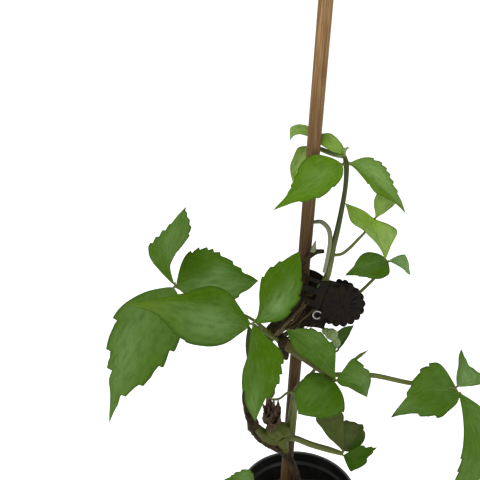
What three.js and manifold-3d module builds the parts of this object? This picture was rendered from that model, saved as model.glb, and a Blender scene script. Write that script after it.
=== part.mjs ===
// A young clematis in a round nursery pot. The plant climbs a wooden cane and is
// held to it by a small sprung claw clip. Millimetres, +Z up, and the origin is
// the middle of the pot's flat base. Seen along +Y, +X is to the right.
import * as THREE from 'three';
import { mergeVertices } from 'three/addons/utils/BufferGeometryUtils.js';
import Module from 'manifold-3d';

const wasm = await Module();
wasm.setup();
const { Manifold, Mesh: SolidMesh } = wasm;

// Driving dimensions of the pot and its filling.
const POT_HEIGHT = 85;
const POT_RIM_RADIUS = 45;
const POT_RIM_HEIGHT = 11;
const POT_RIM_WALL = 2.2;
const POT_ROUNDING = 0.8;
const POT_WALL_TOP_RADIUS = 42.6;
const POT_BASE_RADIUS = 32;
const POT_WALL = 1.4;
const POT_BASE_THICKNESS = 2;
const POT_SIDES = 36;
const DRAIN_HOLES = 6;
const DRAIN_RADIUS = 3.2;
const DRAIN_RING_RADIUS = 21;
const SOIL_LEVEL = 63;
const SOIL_BUMP = 1.6;
const SOIL_RINGS = 5;

// Touching pieces keep this gap, and cuts leave no edge much shorter than this.
const SEAT = 0.3;
const SMALLEST_EDGE = 0.03;

// Driving dimensions of the cane. Its foot is in the soil.
const CANE_RADIUS = 4.25;
const CANE_FOOT = new THREE.Vector3(-12.5, 1, 14);
const CANE_TOP = new THREE.Vector3(3.8, -8, 512);
const CANE_SIDES = 20;

// Driving dimensions of the leaves.
const BLADE_THICKNESS = 0.9;
const BLADE_STRIPS = 4;
const BLADE_BASE_HALF_WIDTH = 0.8;
const BLADE_TIP_HALF_WIDTH = 0.35;
const VEIN_SWEEP = 0.1;
const BLADE_STOPS = 6;
const OUTLINE_POWER = 1.3;
const TOOTH_STEP = 0.5;
const TOOTH_FADE = 8;
const TOOTH_FULL_WIDTH = 4;
const TOOTH_SPACING = 0.045;
const ROW_SPACING = 0.035;
const LAST_ROW = 0.99;
const STALK_SIDES = 6;
const HUB_END = 0.9;

const COLOURS = {
  pot: 0x1c1d1d,
  soil: 0x2b2119,
  cane: 0x8a6a47,
  bark: 0x3a2e22,
  shoot: 0x6f7f4c,
  leaf: 0x467a2c,
  youngLeaf: 0x7da259,
  dullLeaf: 0x66775a,
  clip: 0x33261e,
  steel: 0xb9bcbc,
  scale: 0x6b4433,
  bud: 0x9ab48a,
};

function finish(colour, roughness, metalness = 0) {
  return new THREE.MeshStandardMaterial({ color: colour, roughness, metalness });
}

const plant = new THREE.Group();

function toSolid(geometry) {
  const plain = geometry.clone();
  plain.deleteAttribute('normal');
  plain.deleteAttribute('uv');
  const merged = mergeVertices(plain, 1e-4);
  return new Manifold(new SolidMesh({
    numProp: 3,
    vertProperties: new Float32Array(merged.attributes.position.array),
    triVerts: new Uint32Array(merged.index.array),
  }));
}

function fuse(solids) {
  return solids.reduce((joined, next) => joined.add(next));
}

function cut(solid, tools) {
  return tools.reduce((rest, tool) => rest.subtract(tool), solid);
}

function place(name, solid, material) {
  const bodies = solid.decompose();
  const main = bodies.reduce((a, b) => (b.volume() > a.volume() ? b : a));
  const mesh = main.setTolerance(SMALLEST_EDGE).simplify(SMALLEST_EDGE).getMesh();
  const geometry = new THREE.BufferGeometry();
  geometry.setAttribute('position', new THREE.BufferAttribute(mesh.vertProperties, 3));
  geometry.setIndex(new THREE.BufferAttribute(mesh.triVerts, 1));
  geometry.computeVertexNormals();
  const part = new THREE.Mesh(geometry, material);
  part.name = name;
  plant.add(part);
}

function point([x, y, z]) {
  return new THREE.Vector3(x, y, z);
}

// Closed skin over a row of rings with equally many points, capped at both ends.
function loft(rings) {
  const sides = rings[0].length;
  const positions = [];
  const faces = [];
  rings.forEach((ring) => ring.forEach((p) => positions.push(p.x, p.y, p.z)));
  for (let i = 0; i + 1 < rings.length; i += 1) {
    for (let j = 0; j < sides; j += 1) {
      const a = i * sides + j;
      const b = i * sides + ((j + 1) % sides);
      faces.push(a, b, a + sides);
      faces.push(b, b + sides, a + sides);
    }
  }
  const last = (rings.length - 1) * sides;
  for (let j = 1; j + 1 < sides; j += 1) {
    faces.push(0, j + 1, j);
    faces.push(last, last + j, last + j + 1);
  }
  const geometry = new THREE.BufferGeometry();
  geometry.setAttribute('position', new THREE.Float32BufferAttribute(positions, 3));
  geometry.setIndex(faces);
  return toSolid(geometry);
}

// A round stem through the points given, with a radius for each point. A grown
// copy, a little fatter and longer, cuts the seat for whatever touches the stem, and
// past is how far the stem runs on past its last point.
function stem(points, radii, { sides = STALK_SIDES, perSpan = 3, grow = 0, past = grow } = {}) {
  const curve = new THREE.CatmullRomCurve3(points.map(point));
  const spans = points.length - 1;
  const steps = spans * perSpan;
  const rings = [];
  let side = null;
  for (let i = 0; i <= steps; i += 1) {
    const t = i / steps;
    const along = curve.getTangent(t);
    const centre = curve.getPoint(t);
    if (i === 0) centre.addScaledVector(along, -grow);
    if (i === steps) centre.addScaledVector(along, past);
    if (side === null) {
      side = new THREE.Vector3(0, 1, 0).cross(along);
      if (side.length() < 0.2) side = new THREE.Vector3(1, 0, 0).cross(along);
    }
    side.addScaledVector(along, -side.dot(along)).normalize();
    const other = along.clone().cross(side);
    const span = Math.min(Math.floor(t * spans), spans - 1);
    const radius = THREE.MathUtils.lerp(radii[span], radii[span + 1], t * spans - span) + grow;
    const ring = [];
    for (let j = 0; j < sides; j += 1) {
      const angle = (2 * Math.PI * j) / sides;
      ring.push(centre.clone()
        .addScaledVector(side, radius * Math.cos(angle))
        .addScaledVector(other, radius * Math.sin(angle)));
    }
    rings.push(ring);
  }
  return loft(rings);
}

// Half width of a leaflet at s, the share of its length: a smooth line through five
// widths from base to tip, which stand closer together near the base.
function halfWidth(widths, s) {
  const values = [BLADE_TIP_HALF_WIDTH, ...widths, 0.1];
  const last = values.length - 1;
  const place = s ** (1 / OUTLINE_POWER) * last;
  const k = Math.min(Math.floor(place), last - 1);
  const u = place - k;
  const [before, first, second, after] = [-1, 0, 1, 2].map((j) => (
    values[THREE.MathUtils.clamp(k + j, 0, last)]
  ));
  const leave = k > 0 ? (second - before) / 2 : second - first;
  const arrive = k < last - 1 ? (after - first) / 2 : second - first;
  const square = 3 * (second - first) - 2 * leave - arrive;
  const cube = 2 * (first - second) + leave + arrive;
  return first + leave * u + square * u ** 2 + cube * u ** 3;
}

// How deep the margin is cut at s, from 0 to 1. Each tooth ends in a step inwards,
// and the margin then runs out again to the next tooth.
function bite(s, cuts, length) {
  const past = cuts.filter((c) => c < s - 1e-6);
  if (past.length === 0) return 0;
  const last = past[past.length - 1];
  const gone = (s - last) * length;
  if (gone < TOOTH_STEP) return gone / TOOTH_STEP;
  const next = cuts.find((c) => c > last);
  const end = next === undefined ? TOOTH_FADE : (next - last) * length;
  return Math.max(0, 1 - (gone - TOOTH_STEP) / (end - TOOTH_STEP));
}

// One leaflet: a blade from base to tip, facing the way of face. left and right
// are its half widths in mm, and cuts holds the places of the teeth on each side.
// bow bends the midrib sideways and arch bends it out of the plane. fold lifts the
// halves on either side of the midrib. A narrow neck, the leaflet's own stalk, runs
// from the hub to the base.
function blade(leaflet, leafHub) {
  const { base, tip, face, left, right, cuts = [[], []], tooth = 1 } = leaflet;
  const { hub = leafHub, bow = 0, arch = 0, fold = 0.2, strips = BLADE_STRIPS } = leaflet;
  const start = point(base);
  const run = point(tip).sub(start);
  const length = run.length();
  const along = run.clone().normalize();
  const across = along.clone().cross(point(face)).normalize();
  const out = across.clone().cross(along);

  const step = TOOTH_STEP / length;
  const sharp = [...new Set(cuts.flat())].sort((a, b) => a - b);
  const stops = sharp.filter((c, k) => k === 0 || c - sharp[k - 1] > TOOTH_SPACING)
    .flatMap((c) => [c, c + step]).filter((c) => c < LAST_ROW);
  for (let k = 1; k < BLADE_STOPS; k += 1) {
    const stop = (k / BLADE_STOPS) ** OUTLINE_POWER;
    if (stops.every((other) => Math.abs(stop - other) > ROW_SPACING)) stops.push(stop);
  }
  stops.sort((a, b) => a - b);
  const stations = [{ s: 0, at: point(hub) }, ...[0, ...stops, 1].map((s) => ({ s }))];

  const columns = strips + 1;
  const positions = [[], []];
  stations.forEach(({ s, at = start }) => {
    const swell = 4 * s * (1 - s);
    for (let j = 0; j < columns; j += 1) {
      const t = (2 * j) / strips - 1;
      const side = t < 0 ? 0 : 1;
      const width = halfWidth(side === 0 ? left : right, s);
      const gone = tooth * Math.min(1, width / TOOTH_FULL_WIDTH) * bite(s, cuts[side], length);
      const narrow = THREE.MathUtils.lerp(BLADE_BASE_HALF_WIDTH, BLADE_TIP_HALF_WIDTH, s);
      const reach = Math.max(width - gone, narrow);
      const u = s - VEIN_SWEEP * swell * (1 - Math.abs(t));
      const bend = 4 * u * (1 - u);
      const offset = t * reach;
      const lift = fold * Math.abs(offset);
      const centre = at.clone()
        .addScaledVector(along, length * u)
        .addScaledVector(across, bow * bend + offset)
        .addScaledVector(out, arch * bend + lift);
      [1, -1].forEach((way, skin) => {
        const p = centre.clone().addScaledVector(out, (way * BLADE_THICKNESS) / 2);
        positions[skin].push(p.x, p.y, p.z);
      });
    }
  });

  const rows = stations.length;
  const under = rows * columns;
  const faces = [];
  for (let i = 0; i + 1 < rows; i += 1) {
    for (let j = 0; j + 1 < columns; j += 1) {
      const a = i * columns + j;
      const b = a + 1;
      const c = a + columns;
      const d = c + 1;
      const pairs = j < strips / 2 ? [[a, b, c], [b, d, c]] : [[a, b, d], [a, d, c]];
      pairs.forEach(([p, q, r]) => {
        faces.push(p, q, r);
        faces.push(under + p, under + r, under + q);
      });
    }
  }
  const rim = [];
  for (let j = 0; j < columns; j += 1) rim.push(j);
  for (let i = 1; i < rows; i += 1) rim.push(i * columns + columns - 1);
  for (let j = columns - 2; j >= 0; j -= 1) rim.push((rows - 1) * columns + j);
  for (let i = rows - 2; i > 0; i -= 1) rim.push(i * columns);
  rim.forEach((a, k) => {
    const b = rim[(k + 1) % rim.length];
    faces.push(a, under + a, under + b);
    faces.push(a, under + b, b);
  });
  const geometry = new THREE.BufferGeometry();
  geometry.setAttribute('position', new THREE.Float32BufferAttribute(positions.flat(), 3));
  geometry.setIndex(faces);
  return toSolid(geometry);
}

// A compound leaf: its stalk, and its leaflets, which all spring from the stalk's end.
function leaf({ stalk, radii, leaflets }) {
  const hub = stalk[stalk.length - 1];
  const main = stem(stalk, radii, { perSpan: 2, past: HUB_END });
  return fuse([main, ...leaflets.map((part) => blade(part, hub))]);
}

// The cane: a straight wooden rod.
function caneRod(grow = 0) {
  const along = CANE_TOP.clone().sub(CANE_FOOT);
  const rod = new THREE.CylinderGeometry(
    CANE_RADIUS + grow,
    CANE_RADIUS + grow,
    along.length() + 2 * grow,
    CANE_SIDES,
  );
  const turn = new THREE.Quaternion().setFromUnitVectors(
    new THREE.Vector3(0, 1, 0),
    along.clone().normalize(),
  );
  rod.applyQuaternion(turn);
  const middle = CANE_FOOT.clone().add(CANE_TOP).multiplyScalar(0.5);
  rod.translate(middle.x, middle.y, middle.z);
  return toSolid(rod);
}

// Stems. The old woody stem rises from the soil, swings out to the left of the
// cane and comes back in front of it; the green shoot carries on from its end.
const OLD_STEM = {
  points: [
    [4, -8, 42], [1, -8, 76], [-3, -9.5, 110], [-9, -11.5, 128], [-17, -12.5, 141],
    [-26, -12.5, 149], [-34, -12, 157], [-38, -11, 168], [-40, -10.5, 182],
    [-38, -10, 198], [-33, -10, 213], [-27, -10.5, 228], [-20, -11.2, 241],
    [-11, -11.8, 253], [-3, -11.6, 262], [4, -11.7, 267.5],
  ],
  radii: [2.8, 2.8, 2.9, 3.2, 3, 3.4, 3.2, 3.4, 2.8, 2.6, 2.6, 2.8, 3.4, 3, 2.4, 1.9],
};
const GREEN_SHOOT = {
  points: [
    [5.5, -12, 268.6], [9.6, -11.4, 274], [12, -11, 286], [13.2, -11, 297], [15, -12, 309],
    [16.6, -13, 323], [17.8, -13, 335], [18, -13, 345], [17.4, -13, 352],
    [16.2, -12.5, 356.3], [16.1, -12.3, 358.5], [17.8, -12, 361.8],
  ],
  radii: [1.8, 2.1, 2, 1.9, 1.7, 1.5, 1.35, 1.4, 1.7, 1.3, 1, 0.6],
};
const LOWER_SHOOT = {
  points: [
    [-35, -15.5, 166], [-30.5, -15.5, 157], [-22, -15, 151], [-13, -14, 152], [-8.5, -13, 163],
    [-7.5, -12.5, 176], [-6, -12, 188], [-1, -12, 197],
  ],
  radii: [1.4, 3.6, 5.2, 4.8, 2.6, 2.2, 2.2, 1.6],
};
const DRY_TENDRIL = {
  points: [
    [-4, 4.8, 286], [-9.5, 3, 285], [-11.4, -2.5, 284], [-9, -7.6, 283.2], [-5.5, -9.2, 285.5],
    [-1.5, -9.4, 290.5], [3, -9.5, 293.6], [7.8, -8.6, 292.6],
  ],
  radii: [0.6, 0.8, 0.9, 1.1, 1.25, 1.35, 1.35, 1.6],
};

// Strips of peeling bark and a dead side stem that lie along the old stem.
const BARK_STRIPS = [
  {
    points: [[-22, -13, 236], [-16.5, -14.3, 244.5], [-12, -14, 251], [-8.5, -13, 256]],
    radii: [1.3, 1.7, 1.4, 0.8],
  },
  {
    points: [[-27, -10, 227], [-20, -8.8, 243], [-12, -9.8, 255], [-5, -10.5, 262]],
    radii: [1.2, 1.7, 1.6, 0.8],
  },
  {
    points: [[-28, -10, 226], [-27, -10, 236], [-21, -10.5, 244], [-15, -11, 250]],
    radii: [1.2, 1.5, 1.7, 1],
  },
];
const KNOTS = [
  { at: [-30, -10.5, 221], size: [4.6, 4, 5] },
  { at: [-36.5, -11, 205], size: [3.8, 3.6, 4.6] },
  { at: [-37, -11, 166], size: [4.6, 4, 5] },
  { at: [-25, -12.5, 149], size: [4.6, 4, 3.8] },
];

function knot({ at, size }, grow = 0) {
  const lump = new THREE.SphereGeometry(1, 7, 4);
  lump.scale(size[0] + grow, size[1] + grow, size[2] + grow);
  lump.translate(...at);
  return toSolid(lump);
}

function woody(grow = 0) {
  const main = stem(OLD_STEM.points, OLD_STEM.radii, { sides: 7, perSpan: 2, grow });
  const strips = BARK_STRIPS.map(({ points, radii }) => (
    stem(points, radii, { sides: 4, perSpan: 2, grow })
  ));
  const lumps = KNOTS.map((lump) => knot(lump, grow));
  return fuse([main, ...strips, ...lumps]);
}

const cane = caneRod();
const caneSeat = caneRod(SEAT);
const oldStem = cut(woody(), [caneSeat]);
const oldStemSeat = woody(SEAT);
const shootOptions = { sides: 8, perSpan: 2 };
const greenShoot = cut(
  stem(GREEN_SHOOT.points, GREEN_SHOOT.radii, shootOptions),
  [oldStemSeat, caneSeat],
);
const greenShootSeat = stem(GREEN_SHOOT.points, GREEN_SHOOT.radii, { ...shootOptions, grow: SEAT });
const lowerShoot = cut(
  stem(LOWER_SHOOT.points, LOWER_SHOOT.radii, shootOptions),
  [oldStemSeat, caneSeat],
);
const lowerShootSeat = stem(LOWER_SHOOT.points, LOWER_SHOOT.radii, { ...shootOptions, grow: SEAT });
const stemSeats = [caneSeat, oldStemSeat, greenShootSeat, lowerShootSeat];

// The pot: a tapered moulded cup with a thicker band at the rim.
function pot() {
  const inner = POT_WALL_TOP_RADIUS - POT_WALL;
  const bandFoot = POT_HEIGHT - POT_RIM_HEIGHT;
  const profile = [
    [0, 0],
    [POT_BASE_RADIUS - POT_ROUNDING, 0],
    [POT_BASE_RADIUS, POT_ROUNDING],
    [POT_WALL_TOP_RADIUS, bandFoot],
    [POT_RIM_RADIUS - POT_ROUNDING, bandFoot + POT_ROUNDING],
    [POT_RIM_RADIUS, bandFoot + 2 * POT_ROUNDING],
    [POT_RIM_RADIUS, POT_HEIGHT - POT_ROUNDING],
    [POT_RIM_RADIUS - POT_ROUNDING, POT_HEIGHT],
    [POT_RIM_RADIUS - POT_RIM_WALL, POT_HEIGHT],
    [POT_RIM_RADIUS - POT_RIM_WALL, bandFoot + POT_RIM_WALL],
    [inner, bandFoot - POT_WALL],
    [POT_BASE_RADIUS - POT_WALL, POT_BASE_THICKNESS],
    [0, POT_BASE_THICKNESS],
  ].map(([radius, height]) => new THREE.Vector2(radius, height));
  const cup = new THREE.LatheGeometry(profile, POT_SIDES);
  cup.rotateX(Math.PI / 2);
  const holes = [];
  for (let k = 0; k < DRAIN_HOLES; k += 1) {
    const angle = (2 * Math.PI * k) / DRAIN_HOLES;
    const hole = new THREE.CylinderGeometry(DRAIN_RADIUS, DRAIN_RADIUS, 3 * POT_BASE_THICKNESS, 10);
    hole.rotateX(Math.PI / 2);
    hole.translate(
      DRAIN_RING_RADIUS * Math.cos(angle),
      DRAIN_RING_RADIUS * Math.sin(angle),
      POT_BASE_THICKNESS / 2,
    );
    holes.push(toSolid(hole));
  }
  return cut(toSolid(cup), holes);
}

// The compost: a plug that fills the pot to SOIL_LEVEL, with a crumbly top.
function soil() {
  const slope = (POT_WALL_TOP_RADIUS - POT_BASE_RADIUS) / (POT_HEIGHT - POT_RIM_HEIGHT);
  const foot = POT_BASE_THICKNESS + SEAT;
  const rings = [];
  const ringAt = (radius, height) => {
    const ring = [];
    for (let j = 0; j < POT_SIDES; j += 1) {
      const angle = (2 * Math.PI * j) / POT_SIDES;
      const x = radius * Math.cos(angle);
      const y = radius * Math.sin(angle);
      ring.push(new THREE.Vector3(x, y, typeof height === 'number' ? height : height(x, y)));
    }
    return ring;
  };
  // Two crossing ripples stand for the crumbs of the surface.
  const crumb = (x, y) => SOIL_LEVEL
    + SOIL_BUMP * Math.sin(0.35 * x + 0.8) * Math.cos(0.41 * y - 0.3)
    + 0.6 * SOIL_BUMP * Math.sin(0.83 * x - 0.57 * y);
  const wallGap = 2 * SEAT;
  const radiusAt = (height) => POT_BASE_RADIUS - POT_WALL - wallGap + slope * (height - 1);
  const shoulder = SOIL_LEVEL - 3;
  rings.push(ringAt(1, foot));
  rings.push(ringAt(radiusAt(foot), foot));
  rings.push(ringAt(radiusAt(shoulder), shoulder));
  for (let k = 0; k < SOIL_RINGS; k += 1) {
    const share = 1 - k / SOIL_RINGS;
    rings.push(ringAt(radiusAt(shoulder) * (0.97 * share + 0.02), crumb));
  }
  return cut(loft(rings), [caneSeat, oldStemSeat]);
}

// The claw clip. Its hinge line leans to the right; hingeAlong runs up the pin,
// grips lie to the right of it and the toothed jaws close round the stems.
const CLIP = {
  hinge: new THREE.Vector3(6.5, -7, 250),
  lean: THREE.MathUtils.degToRad(16),
  bottom: -9,
  top: 25,
  wall: 1.8,
  pinRadius: 0.9,
  knuckleRadius: 2.1,
  fanCentre: [11, 11.2],
  fanRadius: 15.6,
  fanSpread: THREE.MathUtils.degToRad(235),
  lobes: 11,
};
const hingeAlong = new THREE.Vector3(Math.sin(CLIP.lean), 0, Math.cos(CLIP.lean));
const clipFrame = new THREE.Matrix4().makeBasis(
  new THREE.Vector3(Math.cos(CLIP.lean), 0, -Math.sin(CLIP.lean)),
  new THREE.Vector3(0, 1, 0),
  hingeAlong,
).setPosition(CLIP.hinge);

// A flat outline in the clip's cross-section, drawn out along the pin.
function jawShell(midline, wall, bottom, top) {
  const path = new THREE.SplineCurve(midline.map(([p, q]) => new THREE.Vector2(p, q)));
  const steps = 9;
  const near = [];
  const far = [];
  for (let i = 0; i <= steps; i += 1) {
    const t = i / steps;
    const centre = path.getPoint(t);
    const tangent = path.getTangent(t);
    const half = (wall / 2) * (1 - 0.45 * t);
    near.push(new THREE.Vector2(centre.x - tangent.y * half, centre.y + tangent.x * half));
    far.unshift(new THREE.Vector2(centre.x + tangent.y * half, centre.y - tangent.x * half));
  }
  const shape = new THREE.Shape([...near, ...far]);
  const shell = new THREE.ExtrudeGeometry(shape, { depth: top - bottom, bevelEnabled: false });
  shell.translate(0, 0, bottom);
  return toSolid(shell);
}

function block(p0, p1, q0, q1, t0, t1) {
  const box = new THREE.BoxGeometry(p1 - p0, q1 - q0, t1 - t0);
  box.translate((p0 + p1) / 2, (q0 + q1) / 2, (t0 + t1) / 2);
  return toSolid(box);
}

function rod(radius, bottom, top, sides = 10) {
  const bar = new THREE.CylinderGeometry(radius, radius, top - bottom, sides);
  bar.rotateX(Math.PI / 2);
  bar.translate(0, 0, (bottom + top) / 2);
  return toSolid(bar);
}

// The grip: a fan with a scalloped edge and a rib running out to each lobe.
function fanGrip(level, way, scale = 1) {
  const { wall, fanCentre: [p, t] } = CLIP;
  const radius = CLIP.fanRadius * scale;
  const outlinePoints = [];
  const perLobe = 4;
  const spread = CLIP.fanSpread;
  const count = CLIP.lobes * perLobe;
  for (let k = 0; k <= count; k += 1) {
    const angle = -spread / 2 + (spread * k) / count;
    const wave = Math.abs(Math.sin((Math.PI * k) / perLobe));
    const reach = radius * (0.9 + 0.1 * wave);
    const x = p + reach * Math.cos(angle);
    outlinePoints.push(new THREE.Vector2(x, t + reach * Math.sin(angle)));
  }
  const back = -1;
  outlinePoints.push(new THREE.Vector2(back, t + radius * 0.75));
  outlinePoints.push(new THREE.Vector2(back, t - radius * 0.75));
  const plate = new THREE.ExtrudeGeometry(
    new THREE.Shape(outlinePoints),
    { depth: wall, bevelEnabled: false },
  );
  plate.rotateX(Math.PI / 2);
  plate.translate(0, level + wall / 2, 0);
  const solids = [toSolid(plate)];
  for (let k = 0; k < CLIP.lobes; k += 1) {
    const angle = -spread / 2 + (spread * (k + 0.5)) / CLIP.lobes;
    const rib = new THREE.CylinderGeometry(0.5, 1.1, radius * 0.7, 4);
    rib.rotateZ(-Math.PI / 2);
    rib.rotateY(-angle);
    const out = radius * 0.62;
    rib.translate(p + out * Math.cos(angle), level + way * (wall / 2), t + out * Math.sin(angle));
    solids.push(toSolid(rib));
  }
  return fuse(solids);
}

function knuckles(spans) {
  return spans.map(([bottom, top]) => rod(CLIP.knuckleRadius, bottom, top));
}

function inClip(solid) {
  return solid.transform(clipFrame.elements);
}

// The knuckles of each jaw, as spans along the pin, and the gaps between its teeth.
// The teeth are long at the top, shorter below it and shortest at the bottom.
const FRONT_KNUCKLES = [[-9, -5.5], [15.5, 19]];
const BACK_KNUCKLES = [[-5, -2], [12, 15]];
const TOOTH_GAPS = [[2, 6.5], [11, 15], [19, 23]];
const SHORTEST_TEETH = [-12, 6];
const SHORTER_TEETH = [5, 16];
const PIN_HOLE = rod(CLIP.pinRadius + SEAT, -12, 30);

function frontJaw() {
  const level = -7.5;
  const midline = [[6, level], [2, -7.2], [-5, -9.2], [-12, -9.2], [-18, -6], [-21, -2]];
  const cutAt = (end, span) => block(-30, end, -14, 0, ...span);
  const springWindow = block(-3.5, 3.5, -12, -3.6, -1, 8);
  return cut(
    fuse([
      jawShell(midline, CLIP.wall, CLIP.bottom, CLIP.top),
      fanGrip(level, -1),
      ...knuckles(FRONT_KNUCKLES),
      ...FRONT_KNUCKLES.map((span) => block(-1.2, 1.2, level, -1, ...span)),
    ]),
    [
      ...TOOTH_GAPS.map((span) => cutAt(-7, span)),
      cutAt(-10, SHORTEST_TEETH),
      cutAt(-16, SHORTER_TEETH),
      springWindow,
      PIN_HOLE,
    ],
  );
}

function backJaw() {
  const level = 3.9;
  const gripScale = 0.82;
  const midline = [
    [6, level], [2, level], [-2, 8], [-7, 12.6], [-15, 13.2], [-23, 11.4], [-27, 6],
  ];
  const cutAt = (end, span) => block(-32, end, 0, 20, ...span);
  return cut(
    fuse([
      jawShell(midline, CLIP.wall, CLIP.bottom + 1, CLIP.top - 4),
      fanGrip(level, 1, gripScale),
      ...knuckles(BACK_KNUCKLES),
      ...BACK_KNUCKLES.map((span) => block(-1.2, 1.2, 1, level, ...span)),
    ]),
    [
      ...TOOTH_GAPS.map((span) => cutAt(-12, span)),
      cutAt(-17, SHORTEST_TEETH),
      cutAt(-23, SHORTER_TEETH),
      PIN_HOLE,
    ],
  );
}

// The pin: a steel rod with a flat head at each end.
function clipPin() {
  const headRadius = CLIP.pinRadius + 0.7;
  return fuse([
    rod(CLIP.pinRadius, -10.2, 20.2),
    rod(headRadius, -10.6, -9.4),
    rod(headRadius, 19.4, 20.6),
  ]);
}

// The spring: coils round the pin, then a leg that ends in an open eye lying on
// the face of the front jaw.
function clipSpring() {
  const coilRadius = 2;
  const coilTop = 10.5;
  const coilPitch = 1.7;
  const wire = 0.45;
  const turns = 4;
  const perTurn = 8;
  const points = [];
  for (let k = 0; k <= turns * perTurn; k += 1) {
    const angle = (2 * Math.PI * k) / perTurn - Math.PI / 2;
    const height = coilTop - (coilPitch * k) / perTurn;
    points.push([coilRadius * Math.cos(angle), coilRadius * Math.sin(angle), height]);
  }
  const leg = [[-1, -5.6, 3.8], [-1, -9.4, 3.9]];
  points.push(...leg);
  const eyeRadius = 2.7;
  const eye = [-2.4, -10.9, 2];
  for (let k = 0; k <= perTurn; k += 1) {
    const angle = Math.PI * (0.3 + (1.55 * k) / perTurn);
    const p = eye[0] + eyeRadius * Math.cos(angle);
    points.push([p, eye[1], eye[2] + eyeRadius * Math.sin(angle)]);
  }
  return stem(points, points.map(() => wire), { sides: 5, perSpan: 1 });
}

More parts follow.
